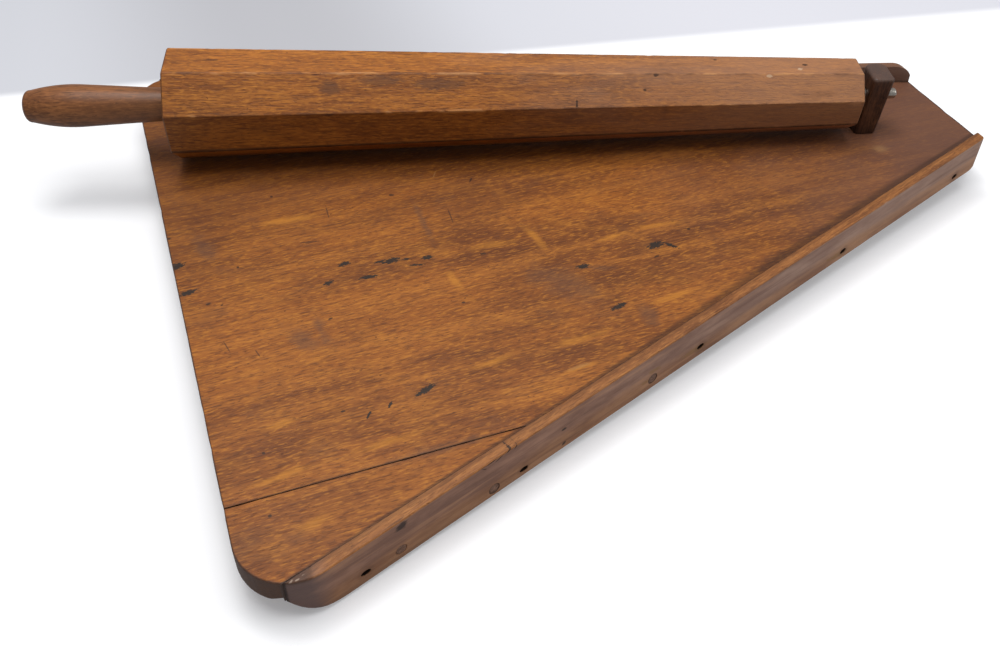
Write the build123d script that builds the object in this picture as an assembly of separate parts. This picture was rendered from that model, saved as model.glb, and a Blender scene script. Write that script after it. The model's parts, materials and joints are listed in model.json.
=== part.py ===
import math
import os

from build123d import *

os.makedirs("parts", exist_ok=True)

# Millimetres. Everything is drawn with the tray's wide end at X = 0, its centreline along +X,
# +Y the far side, where the roller rests, and Z = 0 the surface it stands on. The finished
# pieces are moved so that the origin is in the middle of the wide-end batten's underside.

# Tray board, a fan of three planks
boardLength = 762.0
wideHalf = 326.0
narrowHalf = 58.0
boardThick = 24.0
cornerRadius = 40.0
lowerEdgeRound = 5.0
upperEdgeRound = 1.0

# Seams between the planks, with a loose tongue in each
cornerPlankWide = 78.0
seamGap = 0.4
tongueThick = 6.0
tongueWide = 18.0
tongueStart = 14.0
tongueLength = 150.0

# Side rails: flush with the board at the wide end, a lip at the narrow end
railThick = 9.5
railGap = 0.3
lipRise = 17.5
railFootWide = 0.5
railFootNarrow = 24.0
railEdgeRound = 1.2
heelStart = 16.0
heelRadius = 50.0
nearRailShort = 15.0
farRailPast = 2.0
nearToeRadius = 8.0
farToeRadius = 18.0

# Bearers under the board: two battens between the rails and a block under the post
bearerThick = 18.0
battenWide = 58.0
battenCentres = {"wide_end_batten": 85.0, "middle_batten": 188.0}
innerScrewRow = 60.0
outerScrewInset = 34.0
bearerEdge = 2.0
footLength = 96.0
footWide = 92.0
footCorner = 10.0
footScrewInset = 14.0

# Countersunk slotted screws
screwShank = 4.0
screwHead = 7.6
headDeep = 2.6
slotWide = 1.0
slotDeep = 1.1
tipLength = 6.0
railScrewLength = 36.0
bearerScrewLength = 34.0
bearerScrewSink = 0.6
screwClear = 0.05

# Rail fixings: where along the tray, and how far below the board's top
battenScrewAt = (79.0, 106.0, 182.0, 208.0)
battenScrewDrop = 28.5
edgeScrewAt = (331.0, 382.0, 554.0)
lastScrewInset = 48.0
edgeScrewDropWide = 20.5
edgeScrewDropNarrow = 12.5
pluggedAt = (106.0, 182.0, 331.0)
plugRadius = 4.4
plugDeep = 3.0
plugSink = 0.2

# Swivel post: a block with a round shank through the board and the foot block
postInset = 96.7
postY = 4.8
postThick = 21.0
postDeep = 32.0
postTall = 60.0
postNearRound = 4.0
postFarRound = 8.0
postTopRound = 3.0
postLift = 0.35
shankRadius = 12.0
shankClear = 0.08
washerRadius = 17.0
washerThick = 2.0
washerLift = 0.35
wellRadius = 19.0
wellDeep = 11.0
postScrewShank = 5.0
postScrewHead = 12.0
postScrewDome = 3.2
postScrewLength = 30.0
postScrewHole = 2.4

# Roller, pin and handle, all on one axis through the post
restSwing = 15.7
restTilt = 1.12
restSpin = 3.8
pinHeight = 38.7
pinOffset = 5.0
pinRadius = 5.0
pinClear = 0.08
pinDome = 3.0
pinOut = 14.0
pinIn = 60.0
pinBoreSpare = 1.5
liftRange = 12.0
rollerGap = 8.5
rollerLength = 637.0
rollerBig = 50.7
rollerSmall = 33.6
rollerSides = 8
rollerEndChamfer = 1.2
handleLength = 132.0
handleRoot = 14.4
handleSwell = 18.9
handleSwellAt = 79.0
handleShoulder = 14.4
handleShoulderAt = 125.0
handleNose = 8.5
handleNoseDeep = 2.0
tenonRadius = 10.0
tenonLength = 45.0
tenonClear = 0.05
tenonSpare = 2.0

boardBottom = bearerThick
boardTop = boardBottom + boardThick
railAngle = math.atan2(wideHalf - narrowHalf, boardLength)
seamOffset = wideHalf - cornerPlankWide
postX = boardLength - postInset
railScrewAt = battenScrewAt + edgeScrewAt + (boardLength - lastScrewInset,)
big = 4 * boardLength


# Half width of the board at x, to its edge
def edgeHalf(x):
    return wideHalf - (wideHalf - narrowHalf) * x / boardLength


# Half width at x of a line parallel to the board's edge, so far outside it
def shiftedHalf(x, outside):
    return edgeHalf(x) + outside / math.cos(railAngle)


def outerHalf(x):
    return shiftedHalf(x, railGap + railThick)


def roundedFace(points, radii):
    face = make_face(Polyline(*points, close=True)).face()
    for point, radius in zip(points, radii):
        if radius:
            corner = face.vertices().sort_by_distance(Vector(*point))[0]
            face = face.fillet_2d(radius, [corner])
    return face


def plate(face, bottom, top):
    return Pos(0, 0, bottom) * extrude(face, top - bottom, dir=(0, 0, 1))


def block(x0, x1, y0, y1, z0, z1):
    return Pos((x0 + x1) / 2, (y0 + y1) / 2, (z0 + z1) / 2) * Box(x1 - x0, y1 - y0, z1 - z0)


# A fan between two lines parallel to the board's edges, from x0 to x1
def fanPoints(x0, x1, outside):
    return [(x0, -shiftedHalf(x0, outside)), (x1, -shiftedHalf(x1, outside)),
            (x1, shiftedHalf(x1, outside)), (x0, shiftedHalf(x0, outside))]


def fanFace(x0, x1, outside):
    return roundedFace(fanPoints(x0, x1, outside), (0, 0, 0, 0))


# The whole tray's outline, rails included, with its two round corners
def trayFace():
    points = fanPoints(0, boardLength + farRailPast + railThick, railGap + railThick)
    return roundedFace(points, (cornerRadius, 0, 0, cornerRadius))


# A slotted wood screw, head up at the origin, pointing down
def woodScrew(length, extra=0.0):
    shank = screwShank / 2 + extra
    head = screwHead / 2 + extra
    tip = 0.4 + extra
    end = -length - extra
    profile = Polyline((0, extra), (head, extra), (head, -0.4), (shank, -headDeep),
                       (shank, -length + tipLength), (tip, end), (0, end), close=True)
    solid = revolve(Plane.XZ * make_face(profile), Axis.Z)
    if not extra:
        solid -= block(-head, head, -slotWide / 2, slotWide / 2, -slotDeep, 1)
    return solid.solid()


# Places of the rail's fixings on its outer face, each pointing into the rail
def railPlaces(side):
    places = []
    for x in railScrewAt:
        if x in battenScrewAt:
            drop = battenScrewDrop
        else:
            along = (x - edgeScrewAt[0]) / (railScrewAt[-1] - edgeScrewAt[0])
            drop = edgeScrewDropWide + (edgeScrewDropNarrow - edgeScrewDropWide) * along
        out = (math.sin(railAngle), side * math.cos(railAngle), 0)
        plane = Plane(origin=(x, side * outerHalf(x), boardTop - drop), x_dir=(0, 0, 1), z_dir=out)
        places.append((x, plane.location))
    return places


def bearerPlaces():
    places = []
    for centre in battenCentres.values():
        outerRow = edgeHalf(centre) - outerScrewInset
        for y in (innerScrewRow, (innerScrewRow + outerRow) / 2, outerRow):
            places += [(centre, y), (centre, -y)]
    return places


def footPlaces():
    halfLength = footLength / 2 - footScrewInset
    halfWide = footWide / 2 - footScrewInset
    return [(postX + i * halfLength, postY + j * halfWide) for i in (-1, 1) for j in (-1, 1)]


# A bearer screw's place: head up inside the bearer's underside
def underside(place):
    return Pos(place[0], place[1], bearerScrewSink) * Rot(180, 0, 0)


bearerCutters = []
for place in bearerPlaces() + footPlaces():
    bearerCutters.append(underside(place) * woodScrew(bearerScrewLength, screwClear))
    sunk = Cylinder(screwHead / 2 + screwClear, bearerScrewSink)
    bearerCutters.append(Pos(*place, bearerScrewSink / 2) * sunk)
railCutters = {}
for side in (-1, 1):
    railCutters[side] = []
    for x, place in railPlaces(side):
        railCutters[side].append(place * Pos(0, 0, -plugDeep) * woodScrew(railScrewLength, screwClear))
        railCutters[side].append(place * Pos(0, 0, -plugDeep / 2) * Cylinder(plugRadius, plugDeep))
allRailCutters = railCutters[-1] + railCutters[1]


def tongue(side, spare=0.0):
    middle = boardBottom + boardThick / 2
    y = side * seamOffset
    return block(tongueStart - spare, tongueStart + tongueLength + spare, y - tongueWide / 2 - spare,
                 y + tongueWide / 2 + spare, middle - tongueThick / 2, middle + tongueThick / 2)


# The board as one blank, then sawn along its seams
def planks():
    blank = plate(fanFace(0, boardLength, 0), boardBottom, boardTop) & plate(trayFace(), 0, boardTop)
    for height, radius in ((boardBottom, lowerEdgeRound), (boardTop, upperEdgeRound)):
        wideEdges = blank.edges().filter_by(lambda edge: edge.center().X < cornerRadius / 2)
        blank = fillet(wideEdges.filter_by_position(Axis.Z, height - 0.1, height + 0.1), radius)
    blank -= Pos(postX, postY, boardTop - boardThick / 2) * Cylinder(shankRadius + shankClear, boardThick)
    for cutter in bearerCutters + allRailCutters:
        blank -= cutter
    for side in (-1, 1):
        blank -= tongue(side, 0.2)
    inner = seamOffset - seamGap / 2
    outer = seamOffset + seamGap / 2
    reach = wideHalf + railThick
    return {
        "main_plank": blank & block(-1, boardLength + 1, -inner, inner, 0, boardTop),
        "near_corner_plank": blank & block(-1, boardLength, -reach, -outer, 0, boardTop),
        "far_corner_plank": blank & block(-1, boardLength, outer, reach, 0, boardTop),
    }


# A rail's side view: round heel at the wide end, sloping foot, rising top
def railSideFace(end, toeTop, toeFoot):
    def foot(x):
        return railFootWide + (railFootNarrow - railFootWide) * x / boardLength

    def top(x):
        return boardTop + lipRise * x / boardLength

    tall = 3 * boardTop
    below = roundedFace([(heelStart, foot(heelStart)), (end, foot(end)), (end, tall), (heelStart, tall)],
                        (heelRadius, toeFoot, 0, 0))
    above = roundedFace([(0, -boardTop), (end, -boardTop), (end, top(end)), (0, top(0))],
                        (0, 0, toeTop, 0))
    return below, above


def rail(side, end, toeTop, toeFoot):
    below, above = railSideFace(end, toeTop, toeFoot)
    solid = plate(trayFace(), 0, 2 * boardTop)
    solid -= plate(fanFace(-1, end + 1, railGap), 0, 2 * boardTop)
    solid &= block(-1, end, min(0, side * big), max(0, side * big), 0, 2 * boardTop)
    for face in (below, above):
        solid &= extrude(Plane.XZ * face, big, both=True)
    for cutter in railCutters[side]:
        solid -= cutter
    return solid.solid()


def batten(name):
    centre = battenCentres[name]
    solid = plate(fanFace(centre - battenWide / 2, centre + battenWide / 2, 0), 0, bearerThick)
    solid &= plate(trayFace(), 0, bearerThick)
    solid = chamfer(solid.edges().group_by(Axis.Z)[0].filter_by(Axis.Y), bearerEdge)
    for cutter in bearerCutters + allRailCutters:
        solid -= cutter
    return solid.solid()


def footBlock():
    solid = Pos(postX, postY, bearerThick / 2) * Box(footLength, footWide, bearerThick)
    solid = fillet(solid.edges().filter_by(Axis.Z), footCorner)
    solid = chamfer(solid.edges().group_by(Axis.Z)[0], bearerEdge)
    solid -= Pos(postX, postY, bearerThick / 2) * Cylinder(shankRadius + shankClear, bearerThick)
    solid -= Pos(postX, postY, wellDeep / 2) * Cylinder(wellRadius, wellDeep)
    for cutter in bearerCutters:
        solid -= cutter
    return solid.solid()


# Frames: the post's own, with X along the pin's line seen from above, and the pin's own
postFrame = Pos(postX, postY, boardTop) * Rot(0, 0, -restSwing)
pivotFrame = postFrame * Pos(0, -pinOffset, pinHeight)
pinFrame = pivotFrame * Rot(0, restTilt, 0)


# The pin's hole, flared up and down so that the pin can tilt through the lift
def flaredHole():
    radius = pinRadius + pinClear
    half = postThick
    low = math.radians(restTilt)
    high = math.radians(restTilt + liftRange)
    hole = None
    for tilt in (restTilt, restTilt + liftRange):
        bar = Rot(0, tilt, 0) * Rot(0, 90, 0) * Cylinder(radius, 2 * half)
        hole = bar if hole is None else hole + bar
    for end in (-1, 1):
        lowCorner = (end * half, -end * half * math.tan(low))
        highCorner = (end * half, -end * half * math.tan(high))
        fan = Polyline((0, 0), lowCorner, highCorner, close=True)
        hole += extrude(Plane.XZ * make_face(fan), radius, both=True)
    return hole


def swivelPost():
    head = Pos(0, 0, postLift + (postTall - postLift) / 2) * Box(postThick, postDeep, postTall - postLift)
    upright = head.edges().filter_by(Axis.Z)
    nearCorners = upright.filter_by_position(Axis.Y, -postDeep, 0)
    head = fillet(nearCorners, postNearRound)
    farCorners = head.edges().filter_by(Axis.Z).filter_by_position(Axis.Y, postDeep / 4, postDeep)
    head = fillet(farCorners, postFarRound)
    head = fillet(head.edges().group_by(Axis.Z)[-1], postTopRound)
    shankEnd = washerTop() - boardTop
    shank = Pos(0, 0, (postLift + shankEnd) / 2) * Cylinder(shankRadius, postLift - shankEnd)
    shank = chamfer(shank.edges().group_by(Axis.Z)[0], 1.0)
    post = head + shank
    post -= Pos(0, -pinOffset, pinHeight) * flaredHole()
    depth = postScrewLength + postScrewHole
    post -= Pos(0, 0, shankEnd + depth / 2) * Cylinder(postScrewShank / 2 + screwClear, depth)
    return (postFrame * post).solid()


def washerTop():
    return wellDeep - washerLift


def postWasher():
    ring = Cylinder(washerRadius, washerThick) - Cylinder(postScrewShank / 2 + screwClear, washerThick)
    return (Pos(postX, postY, washerTop() - washerThick / 2) * ring).solid()


# Round-headed screw up into the end of the post's shank
def postScrew():
    seat = washerTop() - washerThick
    rim = postScrewHead / 2
    shank = postScrewShank / 2
    top = seat + washerThick + postScrewLength
    low = seat - postScrewDome
    outline = [Line((0, low), (0, top)), Line((0, top), (shank, top - tipLength)),
               Line((shank, top - tipLength), (shank, seat)), Line((shank, seat), (rim, seat)),
               ThreePointArc((rim, seat), (rim * 0.72, seat - postScrewDome * 0.72), (0, low))]
    solid = revolve(Plane.XZ * make_face(outline), Axis.Z)
    solid -= block(-rim, rim, -slotWide, slotWide, low - 1, low + slotDeep)
    return (Pos(postX, postY, 0) * Rot(0, 0, -restSwing) * solid).solid()


smallEndAt = -(postThick / 2 + rollerGap)
bigEndAt = smallEndAt - rollerLength


def pivotPin():
    inner = smallEndAt - pinIn
    outer = postThick / 2 + pinOut
    domeStart = (outer - pinDome, pinRadius)
    outline = [Line((inner, 0), (outer, 0)), Line((inner, 0), (inner, pinRadius - 1)),
               Line((inner, pinRadius - 1), (inner + 1, pinRadius)),
               Line((inner + 1, pinRadius), domeStart),
               ThreePointArc(domeStart, (outer - pinDome * 0.28, pinRadius * 0.66), (outer, 0))]
    return (pinFrame * revolve(make_face(outline), Axis.X)).solid()


# Regular polygon across the roller at x, one flat turned down, then spun by restSpin
def rollerSection(x, radius):
    step = 360 / rollerSides
    angles = [math.radians(step * (i + 0.5) + restSpin) for i in range(rollerSides)]
    points = [(x, radius * math.cos(angle), radius * math.sin(angle)) for angle in angles]
    return make_face(Polyline(*points, close=True)).face()


def roller():
    solid = loft([rollerSection(bigEndAt, rollerBig), rollerSection(smallEndAt, rollerSmall)], ruled=True)
    ends = solid.faces().sort_by(Axis.X)
    solid = chamfer(ends[0].edges() + ends[-1].edges(), rollerEndChamfer)
    bore = pinIn + pinBoreSpare
    solid -= Pos(smallEndAt - bore / 2, 0, 0) * Rot(0, 90, 0) * Cylinder(pinRadius + pinClear, bore)
    socket = tenonLength + tenonSpare
    solid -= Pos(bigEndAt + socket / 2, 0, 0) * Rot(0, 90, 0) * Cylinder(tenonRadius + tenonClear, socket)
    return (pinFrame * solid).solid()


# Turned handle: tenon, slender root, swelling grip, blunt nose
def handle():
    swell = (-handleSwellAt, handleSwell)
    shoulder = (-handleShoulderAt, handleShoulder)
    noseRim = (-handleLength + handleNoseDeep, handleNose)
    noseRadius = (handleNose ** 2 + handleNoseDeep ** 2) / (2 * handleNoseDeep)
    noseSlope = (handleNose, noseRadius - handleNoseDeep)
    outline = [Line((0, handleRoot), swell),
               TangentArc(swell, shoulder, tangent=(-handleSwellAt, handleSwell - handleRoot)),
               TangentArc(noseRim, shoulder, tangent=noseSlope),
               TangentArc(noseRim, (-handleLength, 0), tangent=(-noseSlope[0], -noseSlope[1])),
               Line((-handleLength, 0), (tenonLength, 0)),
               Line((tenonLength, 0), (tenonLength, tenonRadius)),
               Line((tenonLength, tenonRadius), (0, tenonRadius)), Line((0, tenonRadius), (0, handleRoot))]
    return (pinFrame * Pos(bigEndAt, 0, 0) * revolve(make_face(outline), Axis.X)).solid()


def railScrews(side):
    seat = Pos(0, 0, -plugDeep)
    return [(place * seat * woodScrew(railScrewLength)).solid() for x, place in railPlaces(side)]


def railPlugs(side):
    thick = plugDeep - plugSink
    return [(place * Pos(0, 0, -plugSink - thick / 2) * Cylinder(plugRadius, thick)).solid()
            for x, place in railPlaces(side) if x in pluggedAt]


def bearerScrews(places):
    return [(underside(place) * woodScrew(bearerScrewLength)).solid() for place in places]


nodes = {}
nodes.update(planks())
nodes["near_seam_tongue"] = tongue(-1)
nodes["far_seam_tongue"] = tongue(1)
nodes["near_rail"] = rail(-1, boardLength - nearRailShort, railEdgeRound, nearToeRadius)
nodes["far_rail"] = rail(1, boardLength + farRailPast, farToeRadius, railEdgeRound)
nodes["near_rail_screws"] = railScrews(-1)
nodes["far_rail_screws"] = railScrews(1)
nodes["near_rail_plugs"] = railPlugs(-1)
nodes["far_rail_plugs"] = railPlugs(1)
for name in battenCentres:
    nodes[name] = batten(name)
nodes["batten_screws"] = bearerScrews(bearerPlaces())
nodes["foot_block"] = footBlock()
nodes["foot_screws"] = bearerScrews(footPlaces())
nodes["swivel_post"] = swivelPost()
nodes["post_washer"] = postWasher()
nodes["post_screw"] = postScrew()
nodes["pivot_pin"] = pivotPin()
nodes["roller"] = roller()
nodes["handle"] = handle()

toOrigin = Pos(-battenCentres["wide_end_batten"], 0, 0)
for name, shape in nodes.items():
    if isinstance(shape, list):
        shape = Compound(children=[toOrigin * solid for solid in shape])
    else:
        shape = toOrigin * shape
    export_step(shape, f"parts/{name}.step")
    box = shape.bounding_box()
    print(name, "solids", len(shape.solids()), "volume", round(shape.volume), "size",
          round(box.size.X, 1), round(box.size.Y, 1), round(box.size.Z, 1))
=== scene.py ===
import json
import math

import bmesh
import bpy
from mathutils import Matrix, Vector, noise


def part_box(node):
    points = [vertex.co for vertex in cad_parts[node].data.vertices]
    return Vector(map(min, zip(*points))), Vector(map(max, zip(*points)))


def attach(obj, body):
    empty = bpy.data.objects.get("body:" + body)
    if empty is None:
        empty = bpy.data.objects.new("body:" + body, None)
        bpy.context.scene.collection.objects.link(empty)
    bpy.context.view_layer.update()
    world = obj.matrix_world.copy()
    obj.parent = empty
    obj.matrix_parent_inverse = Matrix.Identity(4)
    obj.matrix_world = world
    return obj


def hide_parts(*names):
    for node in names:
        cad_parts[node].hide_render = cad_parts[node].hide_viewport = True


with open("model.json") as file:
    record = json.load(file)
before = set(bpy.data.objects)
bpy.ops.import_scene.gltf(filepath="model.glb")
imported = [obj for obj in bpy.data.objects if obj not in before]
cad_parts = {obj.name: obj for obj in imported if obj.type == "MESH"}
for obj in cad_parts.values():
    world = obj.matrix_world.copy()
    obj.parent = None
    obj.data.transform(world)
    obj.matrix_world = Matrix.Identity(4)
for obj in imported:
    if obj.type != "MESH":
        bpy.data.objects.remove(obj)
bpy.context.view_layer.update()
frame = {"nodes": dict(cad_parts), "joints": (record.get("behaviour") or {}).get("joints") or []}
mm = 0.001
noise.seed_set(7)                          # without it the waves differ from run to run
joints = {joint["name"]: joint for joint in frame["joints"]}
boardLow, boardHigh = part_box("main_plank")
wideEnd = boardLow.x                       # the tray's wide end; shapes below are drawn from it, in mm
boardTop = boardHigh.z / mm
boardBottom = boardLow.z / mm
print("frame loaded,", len(frame["nodes"]), "nodes")


# camera, at the photograph's place; the image is 1000 by 646
view = {
    "place": (-58.09, -692.05, 605.43),
    "turn": 20.586,       # degrees from +Y towards +X
    "down": 43.815,       # degrees below level
    "lean": -0.767,       # degrees, rolled about its own axis
    "lens": 37.23,        # mm on a 36 mm wide sensor
}


def addCamera():
    turn, down, lean = (math.radians(view[key]) for key in ("turn", "down", "lean"))
    ahead = Vector((math.sin(turn) * math.cos(down), math.cos(turn) * math.cos(down), -math.sin(down)))
    level = Vector((math.cos(turn), -math.sin(turn), 0))
    below = ahead.cross(level)
    right = level * math.cos(lean) + below * math.sin(lean)
    under = below * math.cos(lean) - level * math.sin(lean)
    data = bpy.data.cameras.new("camera")
    data.lens = view["lens"]
    data.sensor_width = 36
    data.clip_start = 0.01
    camera = bpy.data.objects.new("camera", data)
    facing = Matrix((right, -under, -ahead)).transposed().to_4x4()
    camera.matrix_world = Matrix.Translation(Vector(view["place"]) * mm) @ facing
    bpy.context.scene.collection.objects.link(camera)
    bpy.context.scene.camera = camera


addCamera()
print("camera placed")


# node trees, for shaders and for geometry
def plug(tree, socket, value):
    if isinstance(value, Wire):
        tree.links.new(value.socket, socket)
    elif hasattr(value, "__len__") and not isinstance(value, str):
        size = len(socket.default_value)
        socket.default_value = tuple(value) + (1.0,) * (size - len(value))
    else:
        socket.default_value = value


class Wire:
    def __init__(self, tree, socket):
        self.tree = tree
        self.socket = socket

    def sum(self, operation, first, second=None):
        made = self.tree.nodes.new("ShaderNodeMath")
        made.operation = operation
        plug(self.tree, made.inputs[0], first)
        if second is not None:
            plug(self.tree, made.inputs[1], second)
        return Wire(self.tree, made.outputs[0])

    def __add__(self, other): return self.sum("ADD", self, other)
    def __radd__(self, other): return self.sum("ADD", other, self)
    def __sub__(self, other): return self.sum("SUBTRACT", self, other)
    def __rsub__(self, other): return self.sum("SUBTRACT", other, self)
    def __mul__(self, other): return self.sum("MULTIPLY", self, other)
    def __rmul__(self, other): return self.sum("MULTIPLY", other, self)
    def __truediv__(self, other): return self.sum("DIVIDE", self, other)
    def __pow__(self, other): return self.sum("POWER", self, other)
    def __neg__(self): return self.sum("MULTIPLY", self, -1.0)
    def size(self): return self.sum("ABSOLUTE", self)
    def atLeast(self, other): return self.sum("MAXIMUM", self, other)
    def atMost(self, other): return self.sum("MINIMUM", self, other)

    def rise(self, low, high, top=1.0):
        made = self.tree.nodes.new("ShaderNodeMapRange")
        made.interpolation_type = "SMOOTHSTEP"
        for index, value in enumerate((self, low, high, 0.0, top)):
            plug(self.tree, made.inputs[index], value)
        return Wire(self.tree, made.outputs[0])

    def fall(self, low, high, top=1.0):
        return top - self.rise(low, high, top)


class Tree:
    def __init__(self, tree):
        self.tree = tree

    # a node by its type, its settings first, then its sockets' values or wires
    def node(self, kind, settings=None, sockets=None, out=0):
        made = self.tree.nodes.new(kind)
        for key, value in (settings or {}).items():
            setattr(made, key, value)
        for key, value in (sockets or {}).items():
            for part in (value if isinstance(value, list) else [value]):
                plug(self.tree, made.inputs[key], part)
        return Wire(self.tree, made.outputs[out]) if len(made.outputs) else None

    def vector(self, operation, first, second, out=0):
        return self.node("ShaderNodeVectorMath", {"operation": operation}, {0: first, 1: second}, out)

    def split(self, wire):
        first = self.node("ShaderNodeSeparateXYZ", sockets={0: wire})
        return [Wire(self.tree, socket) for socket in first.socket.node.outputs]

    def noise(self, place, scale, detail=2.0, rough=0.5, bend=0.0):
        stretched = self.vector("MULTIPLY", place, scale)
        return self.node("ShaderNodeTexNoise", sockets={
            "Vector": stretched, "Scale": 1.0, "Detail": detail, "Roughness": rough, "Distortion": bend})


def tone(red, green, blue):   # a screen colour, 0 to 255, as the shader's own numbers
    return tuple(((part / 255 + 0.055) / 1.055) ** 2.4 for part in (red, green, blue))


class Paint(Tree):
    def __init__(self, name):
        self.material = bpy.data.materials.new(name)
        self.material.use_nodes = True
        super().__init__(self.material.node_tree)
        self.tree.nodes.clear()
        self.place = self.node("ShaderNodeTexCoord", out="Object")

    # the place in a frame of its own: origin and turn in the part's frame
    def local(self, origin=(0, 0, 0), turn=(0, 0, 0)):
        return self.node("ShaderNodeMapping", {"vector_type": "TEXTURE"},
                         {"Vector": self.place, "Location": origin, "Rotation": turn})

    # how near the closest of some oval marks is: below 1 inside one
    def nearest(self, marks, place=None):
        best = None
        for origin, halves, turn in marks:
            spot = self.node("ShaderNodeMapping", {"vector_type": "TEXTURE"}, {
                "Vector": place or self.place, "Location": tuple(Vector(origin) * mm),
                "Rotation": tuple(math.radians(angle) for angle in turn), "Scale": tuple(Vector(halves) * mm)})
            reach = self.node("ShaderNodeVectorMath", {"operation": "LENGTH"}, {0: spot}, out="Value")
            best = reach if best is None else best.atMost(reach)
        return best

    def mix(self, amount, first, second):
        return self.node("ShaderNodeMix", {"data_type": "RGBA"}, {0: amount, 6: first, 7: second}, out=2)

    def lay(self, amount, shade):   # a screen colour over the paint's own
        self.colour = self.mix(amount, self.colour, tone(*shade))

    def finish(self, rough, height=None, depth=0.0002, strength=0.6, **fixed):
        sockets = {"Base Color": self.colour, "Roughness": rough, "Specular IOR Level": 0.3}
        sockets.update({key.replace("_", " "): value for key, value in fixed.items()})
        if height is not None:
            sockets["Normal"] = self.node("ShaderNodeBump", sockets={
                "Height": height, "Distance": depth, "Strength": strength})
        surface = self.node("ShaderNodeBsdfPrincipled", sockets=sockets)
        self.node("ShaderNodeOutputMaterial", sockets={"Surface": surface})
        return self.material


# wood, with its grain along the local X axis: it colours the paint and returns the height
def woodLayers(paint, local, look):
    dark, middle, pale, gold, pore = (look[key] for key in ("dark", "middle", "pale", "gold", "pore"))
    seed = look["seed"]
    shifted = paint.vector("ADD", local, (seed, seed * 0.7, seed * 0.3))
    skewed = paint.node("ShaderNodeMapping", {"vector_type": "TEXTURE"}, {
        "Vector": shifted, "Rotation": (0, 0, math.radians(-38))})
    clouds = paint.noise(shifted, (6, 17, 17), 4, 0.6, 0.4)
    bands = paint.noise(shifted, (3.5, 70, 70), 3, 0.6, 0.4)
    patches = paint.noise(skewed, (24, 60, 60), 3, 0.6, 0.5)
    ripples = paint.noise(shifted, (32, 430, 430), 2, 0.6)
    fibres = paint.noise(shifted, (52, 980, 980), 2, 0.65)
    flecks = paint.noise(shifted, (170, 800, 800), 1, 0.4)
    pores = paint.noise(shifted, (260, 520, 520), 2, 0.5)
    paint.colour = paint.mix(clouds.rise(0.32, 0.66), tone(*dark), tone(*middle))
    paint.lay(bands.rise(0.44, 0.68, look["bands"]), pale)
    paint.lay(patches.rise(0.48, 0.74, look["patches"]), gold)
    paint.lay(patches.fall(0.26, 0.46, look["patches"] * 0.8), dark)
    paint.lay(ripples.rise(0.50, 0.66, look["ripples"]), dark)
    paint.lay(ripples.fall(0.34, 0.50, look["ripples"] * 0.8), pale)
    paint.lay(fibres.rise(0.52, 0.68, look["fibres"]), pore)
    paint.lay(flecks.rise(0.56, 0.70, look["flecks"]), pore)
    paint.lay(flecks.fall(0.30, 0.44, look["flecks"]), gold)
    paint.lay(pores.rise(0.68, 0.74, 0.7), pore)
    height = fibres * -0.5 - ripples * 0.5 - flecks.rise(0.56, 0.70, 0.6)
    return height


# how a mesh becomes a piece
def addPiece(name, mesh, body, nodes, place=None, sharp=30, weighted=True):
    if place:   # the mesh is drawn in mm, in a frame of its own
        mesh.transform(place @ Matrix.Scale(mm, 4))
    piece = bpy.data.objects.new(name, mesh)
    bpy.context.scene.collection.objects.link(piece)
    mesh.shade_smooth()
    mesh.set_sharp_from_angle(angle=math.radians(sharp))
    if weighted:
        modifier = piece.modifiers.new("normals", "WEIGHTED_NORMAL")
        modifier.keep_sharp = True
    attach(piece, body)
    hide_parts(*nodes)


def settled(piece):   # the mesh as its modifiers leave it
    graph = bpy.context.evaluated_depsgraph_get()
    mesh = bpy.data.meshes.new_from_object(piece.evaluated_get(graph), depsgraph=graph)
    bpy.data.objects.remove(piece)
    return mesh


def loose(name, mesh):
    piece = bpy.data.objects.new(name, mesh)
    bpy.context.scene.collection.objects.link(piece)
    return piece


def carve(mesh, cutters):
    whole = bmesh.new()
    for cutter in cutters:
        part = bpy.data.meshes.new("cutter")
        cutter.to_mesh(part)
        whole.from_mesh(part)
        bpy.data.meshes.remove(part)
    tool = loose("tool", bpy.data.meshes.new("tool"))
    whole.to_mesh(tool.data)
    piece = loose("carved", mesh)
    modifier = piece.modifiers.new("carve", "BOOLEAN")
    modifier.operation = "DIFFERENCE"
    modifier.solver = "EXACT"
    modifier.object = tool
    result = settled(piece)
    bpy.data.objects.remove(tool)
    return result


def meshOf(bm, name, material=None, place=None, scale=mm):
    bmesh.ops.recalc_face_normals(bm, faces=bm.faces)
    mesh = bpy.data.meshes.new(name)
    bm.to_mesh(mesh)
    bm.free()
    mesh.transform((place or Matrix.Identity(4)) @ Matrix.Scale(scale, 4))
    if material:
        mesh.materials.append(material)
    return mesh


# closed rings of points, skinned into one solid
def skin(rings):
    bm = bmesh.new()
    rows = [[bm.verts.new(point) for point in ring] for ring in rings]
    for row, following in zip(rows, rows[1:]):
        for i in range(len(row)):
            j = (i + 1) % len(row)
            bm.faces.new((row[i], row[j], following[j], following[i]))
    bm.faces.new(rows[0])
    bm.faces.new(rows[-1])
    return bm


# a turned form about X, from pairs of place and radius
def turned(profile, sides=48):
    rings = []
    for x, radius in profile:
        turns = [2 * math.pi * i / sides for i in range(sides)]
        rings.append([(x, radius * math.cos(angle), radius * math.sin(angle)) for angle in turns])
    return skin(rings)


def arcPoints(centre, radius, start, end, steps):
    turns = [math.radians(start + (end - start) * i / steps) for i in range(steps + 1)]
    return [(centre[0] + radius * math.cos(turn), centre[1] + radius * math.sin(turn)) for turn in turns]


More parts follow.
